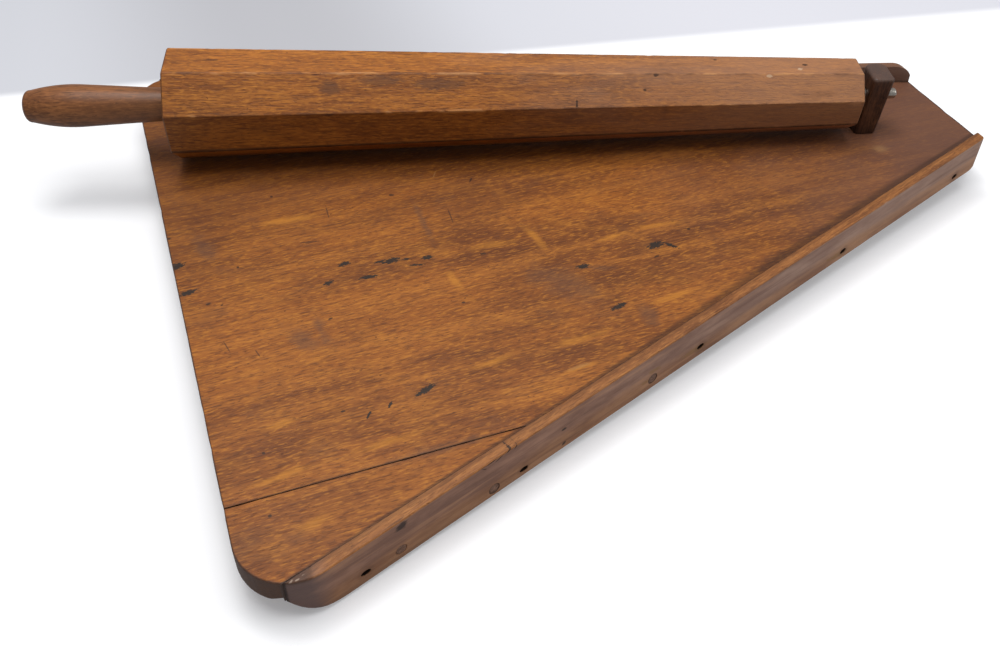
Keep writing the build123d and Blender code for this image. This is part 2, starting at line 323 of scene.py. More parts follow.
# a flat outline made thick, its edges rounded by rule, cut into cells and worn
def slab(outline, low, high, form, name):
    edgeRound, cell = form["edges"], form["cell"]
    bm = bmesh.new()
    rings = [[bm.verts.new((x, y, z)) for x, y in outline] for z in (low, high)]
    bm.faces.new(rings[0])
    bm.faces.new(rings[1])
    for i in range(len(outline)):
        j = (i + 1) % len(outline)
        bm.faces.new((rings[0][i], rings[0][j], rings[1][j], rings[1][i]))
    bmesh.ops.recalc_face_normals(bm, faces=bm.faces)
    widest = max(edgeRound.values())
    weights = bm.edges.layers.float.new("bevel_weight_edge")
    for edge in bm.edges:
        if edge.calc_face_angle(0) > math.radians(25):
            edge[weights] = edgeRound[edgeKind(edge, low, high)] / widest
    mesh = bpy.data.meshes.new(name)
    bm.to_mesh(mesh)
    bm.free()
    piece = loose(name, mesh)
    modifier = piece.modifiers.new("edges", "BEVEL")
    modifier.limit_method = "WEIGHT"
    modifier.width = widest
    modifier.segments = 4
    modifier.use_clamp_overlap = False
    mesh = settled(piece)
    bm = bmesh.new()
    bm.from_mesh(mesh)
    corner = [min(v.co[axis] for v in bm.verts) for axis in (0, 1)]
    far = [max(v.co[axis] for v in bm.verts) for axis in (0, 1)]
    for axis in (0, 1):
        normal = Vector((1 - axis, axis, 0))
        count = max(1, round((far[axis] - corner[axis]) / cell))
        for step in range(1, count):
            at = corner[axis] + (far[axis] - corner[axis]) * step / count
            parts = bm.verts[:] + bm.edges[:] + bm.faces[:]
            bmesh.ops.bisect_plane(bm, geom=parts, plane_co=normal * at, plane_no=normal, dist=0.01)
    wearDown(bm, form["wear"])
    return bm


def edgeKind(edge, low, high):
    heights = [vertex.co.z for vertex in edge.verts]
    middle = (edge.verts[0].co + edge.verts[1].co) / 2
    wide = middle.x < tray["cornerRadius"] - 2 and abs(edge.verts[0].co.x - edge.verts[1].co.x) < 12
    if max(heights) - min(heights) > 1:
        return "upright"
    if max(heights) > (low + high) / 2:
        return "topWide" if wide else "top"
    return "bottomWide" if wide else "bottom"


def waved(point, wear):   # how far a slow wave moves a point
    return noise.noise_vector(point / wear["waveLength"]) * wear["wave"]


# slow waves over the whole surface, and rubbed or knocked edges
def wearDown(bm, wear):
    bm.normal_update()
    moves = []
    for vertex in bm.verts:
        move = waved(vertex.co, wear)
        facing = [face.normal for face in vertex.link_faces]
        if min(facing[0].dot(normal) for normal in facing) < 0.985:
            rubbed = max(0.0, noise.noise(vertex.co / wear["knockLength"]) - 0.15) * wear["knock"]
            move = move - vertex.normal * rubbed
        moves.append(move)
    for vertex, move in zip(bm.verts, moves):
        vertex.co += move


# the tray's lines, as in the frame: mm from the wide end, half widths from the centreline
tray = {
    "length": (boardHigh.x - boardLow.x) / mm,
    "wideHalf": 326.0,
    "narrowHalf": 58.0,
    "cornerRadius": 40.0,
    "railGap": 0.3,
    "railThick": 9.5,
    "lip": 17.5,              # how far the rails rise above the planks at the narrow end
    "seamHalf": boardHigh.y / mm,
    "seamGap": 0.4,
    "shankHole": 12.08,       # for the post's round shank
}
slope = (tray["wideHalf"] - tray["narrowHalf"]) / tray["length"]
railAngle = math.atan(slope)
trayPlace = Matrix.Translation((wideEnd, 0, 0))
swivel = Vector(joints["post_swivel"]["pos_m"]) / mm - Vector((wideEnd / mm, 0, 0))


def edgeHalf(x, outside=0.0):
    return tray["wideHalf"] - slope * x + outside / math.cos(railAngle)


railOutside = tray["railGap"] + tray["railThick"]
cornerX = tray["cornerRadius"]
cornerY = edgeHalf(cornerX, railOutside) - tray["cornerRadius"] / math.cos(railAngle)


def alongTo(half, outside=0.0):   # where the fan's edge is so far from the centreline
    return (edgeHalf(0, outside) - half) / slope


# board
board = {
    "cell": 9.0,
    "edges": {"top": 0.35, "bottom": 0.6, "topWide": 1.3, "bottomWide": 5.0, "upright": 0.35},
    "wear": {"wave": 0.14, "waveLength": 60.0, "knock": 1.1, "knockLength": 7.0},
    "cornerLift": (24.7, 316.6, 10.0, 4.5),   # place, reach and height of the lower corners' rubbing
    "liftBelow": 30.0,
    "look": {"dark": (104, 55, 18), "middle": (146, 83, 26), "pale": (172, 105, 38), "gold": (190, 122, 40),
             "pore": (74, 36, 12), "bands": 0.5, "patches": 0.22, "ripples": 0.26, "fibres": 0.5, "flecks": 0.45,
             "seed": 3.1},
}
# marks on the board: place from the wide end's middle, half length, half width, turn
boardMarks = {
    "blotch": [
        (4, 11, 7.5, 4.6, 15), (8, -25, 8.3, 3.1, 11), (135, -32, 6.2, 2.9, 11), (117, -51, 5.6, 2.7, 13),
        (150, -55, 8.9, 2.5, -6), (164, -39, 5.7, 1.2, 2), (173, -41, 9.2, 3.5, 0), (185, -43, 3.6, 1.3, -1),
        (191, -53, 7.1, 1.2, -14), (203, -47, 6.7, 2.6, -3), (157, -191, 10.4, 2.9, 21), (112, -200, 4.4, 1.0, 54),
        (129, -196, 4.5, 1.2, 53), (322, -101, 6.2, 3.5, -4), (330, -156, 8.1, 3.0, 11), (392, -96, 8.6, 4.4, 10),
        (404, -100, 8.4, 2.3, -52),
    ],
    "dot": [
        (51, -7, 1.6, 1.5, 0), (96, 80, 1.5, 1.5, 0), (21, -44, 2.4, 1.5, 21), (31, -49, 1.4, 1.2, 21),
        (109, -93, 2.1, 1.3, 1), (28, -264, 1.7, 1.5, 14), (34, -210, 1.4, 1.4, 0), (214, -110, 2.2, 1.2, 1),
        (249, -58, 3.2, 1.6, -5), (429, -86, 1.9, 1.5, 0), (198, 47, 3.0, 1.8, -19), (273, 45, 3.7, 1.1, 55),
        (95, -191, 1.9, 1.2, -1), (386, -110, 3.4, 1.2, 12), (2, 50, 1.6, 1.6, 0),
    ],
    "scratch": [
        (239, 0, 12.0, 0.8, -95), (48, -112, 5.9, 0.7, -77), (138, 41, 11.4, 0.7, -94), (27, -97, 8.4, 0.6, -78),
        (114, 6, 8.2, 1.4, -9),
    ],
    "bruise": [
        (214, 2, 40, 4.5, -90), (99, -103, 26, 6, -86), (338, -109, 17, 5, -19), (298, -114, 48, 22, -52),
        (83, -107, 26, 13, -63), (146, -247, 54, 6.5, 0), (29, 27, 26, 11, -76), (349, -173, 22, 10, -90),
    ],
    "gold": [
        (103, 42, 40, 7, -6), (260, -50, 29, 6.6, -5), (298, -50, 25, 6, -79), (216, -83, 17, 5, -83),
        (289, -179, 30, 6, 4), (216, -180, 25, 5.6, 9), (406, -72, 26, 4.5, -6), (359, -74, 22, 4, 6),
        (43, -234, 34, 4.5, 5), (116, -229, 42, 5, 3), (52, -188, 16, 4.5, 5), (52, -279, 18, 5.6, 9),
        (376, -160, 28, 4.7, 5), (275, -208, 18, 3, 4),
    ],
    "scrape": [(244, 64, 7.6, 0.8, 58), (660, -37, 11, 8, -7), (273, -207, 12, 2.2, 4)],
}
boardTints = {   # tone, how much, how ragged, how soft
    "bruise": ((92, 60, 42), 0.55, 1.4, 0.9),
    "gold": ((192, 124, 38), 0.5, 1.7, 0.95),
    "scrape": ((160, 120, 74), 0.35, 1.4, 0.8),
    "scratch": ((66, 38, 22), 0.7, 1.6, 0.4),
    "blotch": ((36, 29, 24), 0.95, 2.6, 0.35),
    "dot": ((48, 28, 16), 0.85, 1.0, 0.4),
}


def tint(paint, half):
    broken = paint.noise(paint.place, (330, 520, 520), 3, 0.7)
    soft = paint.noise(paint.place, (60, 90, 90), 3, 0.6)
    for kind, (shade, most, ragged, edge) in boardTints.items():
        marks = [((wideEnd / mm + x, y, boardTop), (halfLength, halfWidth, 8), (0, 0, turn))
                 for x, y, halfLength, halfWidth, turn in boardMarks[kind]
                 if (abs(y) - half) * (1 if half > 0 else -1) < 12]
        if marks:
            rough = soft if edge > 0.7 else broken
            inside = (paint.nearest(marks) + (rough - 0.5) * ragged).fall(1 - edge, 1.05, most)
            paint.lay(inside, shade)


def boardPaint(name, seed, kind):
    paint = Paint(name)
    height = woodLayers(paint, paint.local(), dict(board["look"], seed=seed))
    x, y = paint.split(paint.place)[:2]
    along = x - wideEnd
    rough = paint.noise(paint.place, (9, 9, 9), 4, 0.6)
    # painted sheen makes it dull grey brown towards the narrow end, painted shade of the roller deep brown at the
    # far side
    # painted sheen: greyer towards the narrow end
    narrow = (along + (rough - 0.5) * 0.3).rise(0.38, 0.72, 0.85)
    paint.lay(narrow, (100, 67, 52))
    # painted shade of the roller: deeper brown along the far side
    deep = (y + (rough - 0.5) * 0.16 - along * 0.08).rise(-0.06, 0.12, 0.45)
    paint.lay(deep, (92, 50, 20))
    grime = paint.noise(paint.place, (22, 30, 30), 4, 0.7).rise(0.52, 0.78, 0.45)
    paint.lay(grime, (98, 60, 36))
    if kind == "main":
        tint(paint, tray["seamHalf"])
    elif kind == "near":
        tint(paint, -tray["seamHalf"])
    # dirt in the joint with the rails and beside the seams, with painted shade in the soft band behind the rails'
    # lip
    fromRail = (tray["wideHalf"] * mm - along * slope - y.size()) * math.cos(railAngle)
    behindLip = along * (0.7 * tray["lip"] / tray["length"]) * y.fall(-0.01, 0.01)
    spread = 0.0010 + along.rise(0.25, 0.45, 0.004) - along.rise(0.60, 0.72, 0.003)
    # the soft band behind the lip: grime and painted shade of the lip
    soft = ((fromRail - behindLip) / spread + (rough - 0.5) * 1.2).fall(0.2, 1.6, 0.55)
    jointDirtAndShade = fromRail.fall(0.0003, 0.0011, 0.9).atLeast(soft)
    fromSeam = (y.size() - tray["seamHalf"] * mm).size()
    seamDirt = fromSeam.fall(0.0003, 0.0014, 0.75)
    paint.lay(jointDirtAndShade.atLeast(seamDirt), (44, 24, 13))
    # rubbed, greyed edge at the wide end and round the corners
    overX = (cornerX * mm - along).atLeast(0.0)
    overY = (y.size() - cornerY * mm).atLeast(0.0)
    reach = (overX * overX + overY * overY) ** 0.5
    rim = (reach + (rough - 0.5) * 0.0012).rise((cornerX - 1.6) * mm, (cornerX - 0.4) * mm)
    paint.lay(rim * 0.85, (72, 54, 46))
    ending = along.rise(0.7600, 0.7612, 0.8)
    paint.lay(ending, (52, 32, 22))
    dents = paint.noise(paint.place, (34, 34, 34), 3, 0.6)
    return paint.finish(0.46 + rough * 0.2, height + dents * 0.8, 0.00025, 0.6)


def boardOutline(kind):
    gap = tray["seamGap"] / 2
    half = tray["seamHalf"]
    if kind == "main":
        joint = alongTo(half)
        return [(0, -half), (joint, -half), (tray["length"], -tray["narrowHalf"]),
                (tray["length"], tray["narrowHalf"]), (joint, half), (0, half)]
    side = -1 if kind == "near" else 1
    inner = half + 2 * gap
    points = [(0, inner)]
    for x, y in arcPoints((cornerX, cornerY), cornerX, 180, 90, 30):
        if y < edgeHalf(x):
            points.append((x, y))
    points += [(points[-1][0] + 0.4, edgeHalf(points[-1][0] + 0.4)), (alongTo(inner), inner)]
    return [(x, side * y) for x, y in points]


def cutterAt(profile, origin, outward, sides=32, squash=(1, 1, 1)):
    cutter = turned(profile, sides)
    cutter.transform(Matrix.Diagonal((*squash, 1)))
    facing = Vector(outward).to_track_quat("X", "Z").to_matrix().to_4x4()
    cutter.transform(Matrix.Translation(origin) @ facing)
    bmesh.ops.recalc_face_normals(cutter, faces=cutter.faces)
    return cutter


def addBoard():
    shankHole = [(-40, tray["shankHole"]), (40, tray["shankHole"])]
    liftX, liftY, reach, most = board["cornerLift"]
    for kind, node, seed in (("main", "main_plank", 3.1), ("near", "near_corner_plank", 7.7),
                             ("far", "far_corner_plank", 5.2)):
        material = boardPaint(node, seed, kind)
        bm = slab(boardOutline(kind), boardBottom, boardTop, board, node)
        # the planks' lower corners are rubbed up to the rails' heels
        for vertex in bm.verts:
            gap = math.hypot(vertex.co.x - liftX, abs(vertex.co.y) - liftY)
            if kind != "main" and vertex.co.z < board["liftBelow"]:
                vertex.co.z += max(0.0, 1 - gap / reach) * most
        mesh = meshOf(bm, "board_" + kind, material, scale=1)
        if kind == "main":
            mesh = carve(mesh, [cutterAt(shankHole, swivel, (0, 0, 1), 48)])
        addPiece("board_" + kind, mesh, "tray", [node], trayPlace)


addBoard()
print("board made")


# side rails
rail = {
    "footWide": 0.5,
    "footNarrow": 24.0,
    "heelStart": 16.0,
    "heelRadius": 50.0,
    "arris": 1.3,
    "footArris": 0.8,
    "plan": 2.6,              # how far the narrow ends are rounded, seen from above
    "step": 4.0,
    "rows": 9,
    "start": 25.6,            # where the first ring stands, round the planks' corner
    "wave": 0.12,
    "waveLength": 40.0,
    "near": {"side": -1, "end": 747.0, "toeTop": 1.6, "toeFoot": 8.0},
    "far": {"side": 1, "end": 764.0, "toeTop": 18.0, "toeFoot": 1.2},
    "look": {"dark": (104, 60, 30), "middle": (146, 90, 44), "pale": (176, 116, 60), "gold": (186, 126, 66),
             "pore": (72, 40, 20), "bands": 0.5, "patches": 0.2, "ripples": 0.5, "fibres": 0.5, "flecks": 0.3,
             "seed": 11.3},
    "sideTones": (((132, 95, 78), (174, 131, 108)), ((146, 99, 66), (184, 133, 92)),
                  ((156, 121, 104), (184, 149, 129))),   # greyed with a painted cool reflection, browned, paler with a painted sheen
}
# knocks along the top edges: place, depth, half length, and which edge
railKnocks = [
    (121, 1.6, 3.0, "outer"), (235, 0.9, 5.0, "inner"), (247, 1.8, 3.5, "inner"), (318, 1.0, 4.0, "outer"),
    (452, 1.2, 3.0, "inner"), (505, 0.8, 6.0, "outer"), (602, 1.4, 2.5, "outer"), (668, 0.9, 4.0, "inner"),
]
fixings = {
    "atBattens": (79.0, 106.0, 182.0, 208.0),
    "battenDrop": 28.5,
    "atEdge": (331.0, 382.0, 554.0, 714.0),
    "edgeDrop": (20.5, 12.5),
    "plugged": (106.0, 182.0, 331.0),
    "well": 4.4,
    "wellDeep": 3.0,
    "mouth": 0.25,            # how much wider a well is at the surface
    "wornWell": (1, 0.9, 0.6),   # an open well is worn and caked into an oval
}


def sagged(radius, over):   # how far a circle has left its tangent
    return radius - math.sqrt(max(0.0, radius * radius - over * over))


def endInset(x, end, radius):   # how far a rounded corner pulls in near the end
    return sagged(radius, max(0.0, x - (end - radius)))


def railFoot(x, form):
    line = rail["footWide"] + (rail["footNarrow"] - rail["footWide"]) * x / tray["length"]
    line += sagged(rail["heelRadius"], max(0.0, rail["heelStart"] + rail["heelRadius"] - x))
    return line + endInset(x, form["end"], form["toeFoot"])


def railTop(x, form):
    return boardTop + tray["lip"] * x / tray["length"] - endInset(x, form["end"], form["toeTop"])


def railOuter(x):
    if x < cornerX + tray["cornerRadius"] * math.sin(railAngle):
        return cornerY + math.sqrt(max(0.0, cornerX ** 2 - (x - cornerX) ** 2))
    return edgeHalf(x, railOutside)


def knocked(x, which, side):
    depth = 0.5 * max(0.0, noise.noise(Vector((x / 9.0, 3.0 * side, 0.5 if which == "outer" else 9.5))))
    if side < 0:
        for place, deep, halfLength, edge in railKnocks:
            if edge == which:
                depth += deep * math.exp(-((x - place) / halfLength) ** 2)
    return depth


def railRing(x, form):
    side = form["side"]
    pull = endInset(x, form["end"], rail["plan"])
    inner = edgeHalf(x, tray["railGap"]) + pull
    outer = railOuter(x) - pull
    low, high = railFoot(x, form), railTop(x, form)
    most = max(0.02, min((outer - inner) * 0.45, (high - low) * 0.4))
    outerTop = min(most, rail["arris"] + knocked(x, "outer", side))
    innerTop = min(most, rail["arris"] * 0.6 + knocked(x, "inner", side))
    foot = min(most, rail["footArris"])
    rows = rail["rows"]
    points = [(inner, low + foot + (high - innerTop - low - foot) * i / rows) for i in range(rows)]
    points += arcPoints((inner + innerTop, high - innerTop), innerTop, 180, 90, 4)
    points += arcPoints((outer - outerTop, high - outerTop), outerTop, 90, 0, 4)
    points += [(outer, high - outerTop - (high - outerTop - low - foot) * i / rows) for i in range(1, rows)]
    points += arcPoints((outer - foot, low + foot), foot, 0, -90, 3)
    points += arcPoints((inner + foot, low + foot), foot, -90, -180, 3)[:-1]
    return [(x, side * y, z) for y, z in points]


def fixingPlaces(side):
    places = []
    outward = Vector((math.sin(railAngle), side * math.cos(railAngle), 0))
    firstEdge, lastEdge = fixings["atEdge"][0], fixings["atEdge"][-1]
    for x in fixings["atBattens"] + fixings["atEdge"]:
        drop = fixings["battenDrop"]
        if x in fixings["atEdge"]:
            wide, narrow = fixings["edgeDrop"]
            drop = wide + (narrow - wide) * (x - firstEdge) / (lastEdge - firstEdge)
        places.append((x, Vector((x, side * edgeHalf(x, railOutside), boardTop - drop)), outward))
    return places


# marks on the near rail: along its line from the wide end, height, half length, half height, turn
railMarks = {
    "worn": [(399, 22.6, 18, 3.9, 3), (352, 30.2, 7.8, 3, 5), (342, 22.7, 5.7, 2, 10), (580, 25.6, 18, 3.6, 5)],
    "patch": [(114, 38.7, 5.5, 4.2, -14), (259, 13.4, 2.8, 1.8, -48), (258, 30, 3.2, 1.4, 0)],
    "crack": [(190, 45.0, 5, 0.6, -8), (197, 44.0, 5, 0.5, -20), (205.6, 45.6, 4.6, 0.6, -24),
              (212, 45, 3, 0.6, -50), (184, 42.5, 3, 0.5, 30)],
}


def railPaint(name, side, marks):
    paint = Paint(name)
    corner = (wideEnd, side * edgeHalf(0, railOutside) * mm, 0)
    local = paint.local(corner, (0, 0, -side * railAngle))
    height = woodLayers(paint, local, dict(rail["look"], seed=rail["look"]["seed"] + side))
    y, z = paint.split(local)[1:]
    patch = paint.noise(local, (14, 50, 50), 4, 0.65)
    fine = paint.noise(local, (160, 420, 420), 3, 0.65)
    inward = y.size()
    along = paint.split(paint.place)[0] - wideEnd
    topLine = (boardTop + tray["lip"] * along / (tray["length"] * mm)) * mm
    below = topLine - z
    # the sides: purplish grey above, weathered and with a painted cool reflection, browner below, paler towards
    # the narrow end with a painted sheen
    uneven = patch.rise(0.35, 0.7)
    greyedAndReflecting, browned, paleSheen = (paint.mix(uneven, tone(*low), tone(*high)) for low, high in rail["sideTones"])
    sides = paint.mix((along + (patch - 0.5) * 0.2).rise(0.22, 0.52), greyedAndReflecting, paleSheen)
    lower = (below + (patch - 0.5) * 0.02).rise(0.016, 0.030, 0.75)
    sides = paint.mix(lower, sides, browned)
    streak = paint.noise(local, (5, 170, 170), 3, 0.6)
    sides = paint.mix(streak.rise(0.50, 0.70, 0.5), sides, tone(110, 75, 58))
    sides = paint.mix(streak.fall(0.32, 0.46, 0.4), sides, tone(200, 148, 108))
    onSide = (below + (patch - 0.5) * 0.0012).rise(0.0005, 0.0016, 0.95)
    tip = (along + (patch - 0.5) * 0.02).fall(0.040, 0.060)
    rubbed = paint.mix(below.rise(0.0005, 0.004), tone(62, 44, 36), tone(106, 86, 82))
    topTip = (along + (patch - 0.5) * 0.01).fall(0.044, 0.050) * below.fall(0.001, 0.004)
    sides = paint.mix(tip.atLeast(topTip) * 0.9, sides, rubbed)
    onSide = onSide.atLeast(tip * 0.9)
    paint.colour = paint.mix(onSide, paint.colour, sides)
    # painted highlight along the outer top edge
    arris = (below - 0.0008).size().fall(0.0002, 0.0012) * (1.0 - tip) * patch.rise(0.36, 0.6, 0.35)
    paint.lay(arris, (168, 110, 60))
    onTop = 1.0 - onSide
    inner = (inward + (fine - 0.5) * 0.001).rise(0.0052, 0.0062, 0.4) * onTop
    paint.lay(inner, (96, 56, 26))
    # dirt and painted contact shade on the inner face by the board and along the inner top edge
    inside = (inward - tray["railThick"] * mm).size().fall(0.0004, 0.0014)
    low = (z - boardHigh.z).fall(0.0004, 0.0018)
    jointDirtAndShade = inside * low.atLeast(below.fall(0.0003, 0.0011, 0.9)) * patch.rise(0.2, 0.5, 0.92)
    paint.lay(jointDirtAndShade, (40, 22, 13))
    # darker towards the foot
    footDarkening = z.fall(0.002, 0.014) * patch.rise(0.4, 0.7, 0.5)
    paint.lay(footDarkening, (58, 40, 32))
    if not marks:
        # painted shade on the far rail's rounded toe
        toeShade = (along + (patch - 0.5) * 0.02).rise(0.690, 0.715, 0.75)
        paint.lay(toeShade, (104, 76, 62))
    if marks:
        for kind, shade, most in (("worn", (150, 110, 68), 0.75), ("patch", (44, 32, 28), 0.85),
                                  ("crack", (34, 20, 14), 0.9)):
            ovals = [((a, 0, h), (halfA, 14, halfH), (0, turn, 0)) for a, h, halfA, halfH, turn in railMarks[kind]]
            inside = (paint.nearest(ovals, local) + (fine - 0.5) * 1.8).fall(0.5, 1.05, most)
            paint.lay(inside, shade)
        chips = [((wideEnd / mm + a, b, boardTop), (2.0, 0.8, 2.0), (0, 0, 25))
                 for a, b in ((31, -317.6), (35, -318.0), (39, -316))]
        inside = (paint.nearest(chips) + (fine - 0.5) * 3.0).fall(0.4, 1.0, 0.7)
        paint.lay(inside, (168, 146, 128))
    # caked dirt and painted shade inside the open wells, and a dark line round each plug
    wells = {True: None, False: None}
    for place, centre, _ in fixingPlaces(side):
        here = centre * mm + Vector((wideEnd, 0, 0))
        reach = paint.vector("DISTANCE", paint.place, tuple(here), out="Value")
        filled = place in fixings["plugged"]
        wells[filled] = reach if wells[filled] is None else wells[filled].atMost(reach)
    depth = inward.rise(0.0003, 0.0009) * wells[False].fall(0.0046, 0.0050)
    ring = (wells[True] + (fine - 0.5) * 0.0006 - 0.0045).size().fall(0.0002, 0.0007, 0.85)
    ring = ring * (0.2 + along.rise(0.13, 0.15, 0.7))
    bruise = (wells[False] + (patch - 0.5) * 0.006).fall(0.0042, 0.0085, 0.3)
    paint.lay(bruise, (92, 60, 42))
    paint.lay(depth.atLeast(ring), (30, 18, 13))
    return paint.finish(0.48 + patch * 0.15, height, 0.00022, 0.6)


def addRails():
    for kind in ("near", "far"):
        form = rail[kind]
        start = rail["start"]
        tight = max(form["toeTop"], form["toeFoot"], rail["plan"]) + 1
        count = round((form["end"] - tight - start) / rail["step"])
        stations = [start + (form["end"] - tight - start) * i / count for i in range(count)]
        stations += [form["end"] - tight * math.cos(math.pi / 2 * i / 14) for i in range(15)]
        bm = skin([railRing(x, form) for x in stations])
        for vertex in bm.verts:
            vertex.co += waved(vertex.co, rail)
        material = railPaint(kind + "_rail", form["side"], kind == "near")
        mesh = meshOf(bm, kind + "_rail", material, scale=1)
        cutters = []
        deep = fixings["wellDeep"]
        for place, centre, outward in fixingPlaces(form["side"]):
            mouth = fixings["well"] + fixings["mouth"]
            profile = [(-deep, fixings["well"]), (-0.5, fixings["well"]), (0.1, mouth), (2.0, mouth)]
            squash = (1, 1, 1) if place in fixings["plugged"] else fixings["wornWell"]
            cutters.append(cutterAt(profile, centre, outward, 40, squash))
        mesh = carve(mesh, cutters)
        addPiece("rail_" + kind, mesh, "tray", [kind + "_rail"], trayPlace, sharp=34)


addRails()
print("rails made")


# battens and foot block under the board
bearer = {
    "wide": 58.0,
    "centres": {"wide_end_batten": 85.0, "middle_batten": 188.0},
    "cell": 12.0,
    "edges": {"top": 0.4, "bottom": 2.0, "topWide": 0.4, "bottomWide": 2.0, "upright": 1.0},
    "wear": {"wave": 0.2, "waveLength": 45.0, "knock": 1.6, "knockLength": 9.0},
    "footLength": 96.0,
    "footWide": 92.0,
    "footCorner": 10.0,
    "well": 19.0,
    "wellDeep": 11.0,
    "look": {"dark": (104, 68, 38), "middle": (142, 98, 58), "pale": (178, 134, 86), "gold": (186, 140, 88),
             "pore": (82, 54, 34), "bands": 0.5, "patches": 0.2, "ripples": 0.4, "fibres": 0.5, "flecks": 0.3,
             "seed": 17.9},
}


def bearerPaint(name, turn, seed):
    paint = Paint(name)
    local = paint.local((0, 0, 0), (0, 0, turn))
    height = woodLayers(paint, local, dict(bearer["look"], seed=seed))
    patch = paint.noise(paint.place, (18, 18, 18), 4, 0.65)
    z = paint.split(paint.place)[2]
    paint.lay(z.fall(0.0006, 0.004) * patch.rise(0.35, 0.65, 0.7), (84, 66, 52))
    sawn = paint.noise(local, (420, 12, 12), 2, 0.5)
    return paint.finish(0.62 + patch * 0.12, height + sawn * 0.5, 0.0003, 0.8)


def bearerSlab(outline, name):   # its waves stay clear of the table and the planks
    bm = slab(outline, 0, boardBottom, bearer, name)
    for vertex in bm.verts:
        vertex.co.z = min(max(vertex.co.z, 0.0), boardBottom)
    return bm


def addBearers():
    for node, centre in bearer["centres"].items():
        ends = (centre - bearer["wide"] / 2, centre + bearer["wide"] / 2)
        outline = [(ends[0], -edgeHalf(ends[0])), (ends[1], -edgeHalf(ends[1])),
                   (ends[1], edgeHalf(ends[1])), (ends[0], edgeHalf(ends[0]))]
        mesh = meshOf(bearerSlab(outline, node), node, bearerPaint(node, math.pi / 2, centre / 10), trayPlace)
        addPiece("bearer_" + node, mesh, "tray", [node])
    halfLength, halfWide, corner = bearer["footLength"] / 2, bearer["footWide"] / 2, bearer["footCorner"]
    outline = []
    for x, y, start in ((1, 1, 0), (-1, 1, 90), (-1, -1, 180), (1, -1, 270)):
        centre = (swivel.x + x * (halfLength - corner), swivel.y + y * (halfWide - corner))
        outline += arcPoints(centre, corner, start, start + 90, 8)
    material = bearerPaint("foot_block", math.pi / 2, 4.4)
    mesh = meshOf(bearerSlab(outline, "foot_block"), "foot_block", material, scale=1)
    base = Vector((swivel.x, swivel.y, 0))
    for radius, top, sides in ((tray["shankHole"], 60, 48), (bearer["well"], bearer["wellDeep"], 64)):
        mesh = carve(mesh, [cutterAt([(-60, radius), (top, radius)], base, (0, 0, 1), sides)])
    addPiece("bearer_foot", mesh, "tray", ["foot_block"], trayPlace)


addBearers()
print("bearers made")


# the roller's line: its own frame, X along the pin away from the handle
pivot = Vector(joints["roller_spin"]["pos_m"])
rollerAxis = Vector(joints["roller_spin"]["axis"]).normalized()
swing = math.atan2(rollerAxis.y, rollerAxis.x)
postFrame = Matrix.Translation((pivot.x, pivot.y, boardHigh.z)) @ Matrix.Rotation(swing, 4, "Z")
rollerTilt = math.asin(-rollerAxis.z)
rollerFrame = (Matrix.Translation(pivot) @ Matrix.Rotation(swing, 4, "Z")
               @ Matrix.Rotation(rollerTilt, 4, "Y"))
rollerTurn = tuple(rollerFrame.to_euler())
roller = {
    "length": 637.0,
    "big": 50.7,
    "small": 33.6,
    "sides": 8,
    "spin": 3.8,
    "smallEnd": -19.0,        # from the pivot, along the axis
    "ridgeRound": 0.030,      # share of the radius
    "rings": 150,
    "wear": 0.55,
    "chamfer": 1.4,
    "bore": 5.08,
    "boreDeep": 61.5,
    "chip": (-17.0, 13.6, 36.5),
    "chipSize": (9.0, 6.0, 6.5),
    "look": {"dark": (114, 62, 20), "middle": (160, 94, 32), "pale": (186, 116, 42), "gold": (198, 128, 46),
             "pore": (80, 40, 14), "bands": 0.5, "patches": 0.2, "ripples": 0.5, "fibres": 0.65, "flecks": 0.45,
             "seed": 23.5},
}


class Shape(Tree):   # a geometry tree with named inputs
    def __init__(self, name, inputs):
        group = bpy.data.node_groups.new(name, "GeometryNodeTree")
        super().__init__(group)
        group.interface.new_socket("Geometry", in_out="INPUT", socket_type="NodeSocketGeometry")
        for label, kind in inputs.items():
            group.interface.new_socket(label, in_out="INPUT", socket_type="NodeSocket" + kind)
        group.interface.new_socket("Geometry", in_out="OUTPUT", socket_type="NodeSocketGeometry")
        self.given = group.nodes.new("NodeGroupInput")

    def input(self, label):
        return Wire(self.tree, self.given.outputs[label])

    def vectorOf(self, x=0.0, y=0.0, z=0.0):
        return self.node("ShaderNodeCombineXYZ", sockets={"X": x, "Y": y, "Z": z})

    def moved(self, geometry, x=0.0, y=0.0, z=0.0, turn=(0, 0, 0)):
        return self.node("GeometryNodeTransform", sockets={
            "Geometry": geometry, "Translation": self.vectorOf(x, y, z), "Rotation": turn})

    def end(self, geometry):
        real = self.node("GeometryNodeRealizeInstances", sockets={"Geometry": geometry})
        done = self.node("GeometryNodeSetMaterial", sockets={"Geometry": real, "Material": self.input("Material")})
        self.node("NodeGroupOutput", sockets={"Geometry": done})
        return self.tree


# a node tree run on a base mesh; the result is a plain mesh
def grow(name, tree, values, base=None):
    piece = loose(name, base or bpy.data.meshes.new(name))
    modifier = piece.modifiers.new("shape", "NODES")
    modifier.node_group = tree
    for item in tree.interface.items_tree:
        if item.in_out == "INPUT" and item.name in values:
            modifier[item.identifier] = values[item.name]
    return settled(piece)


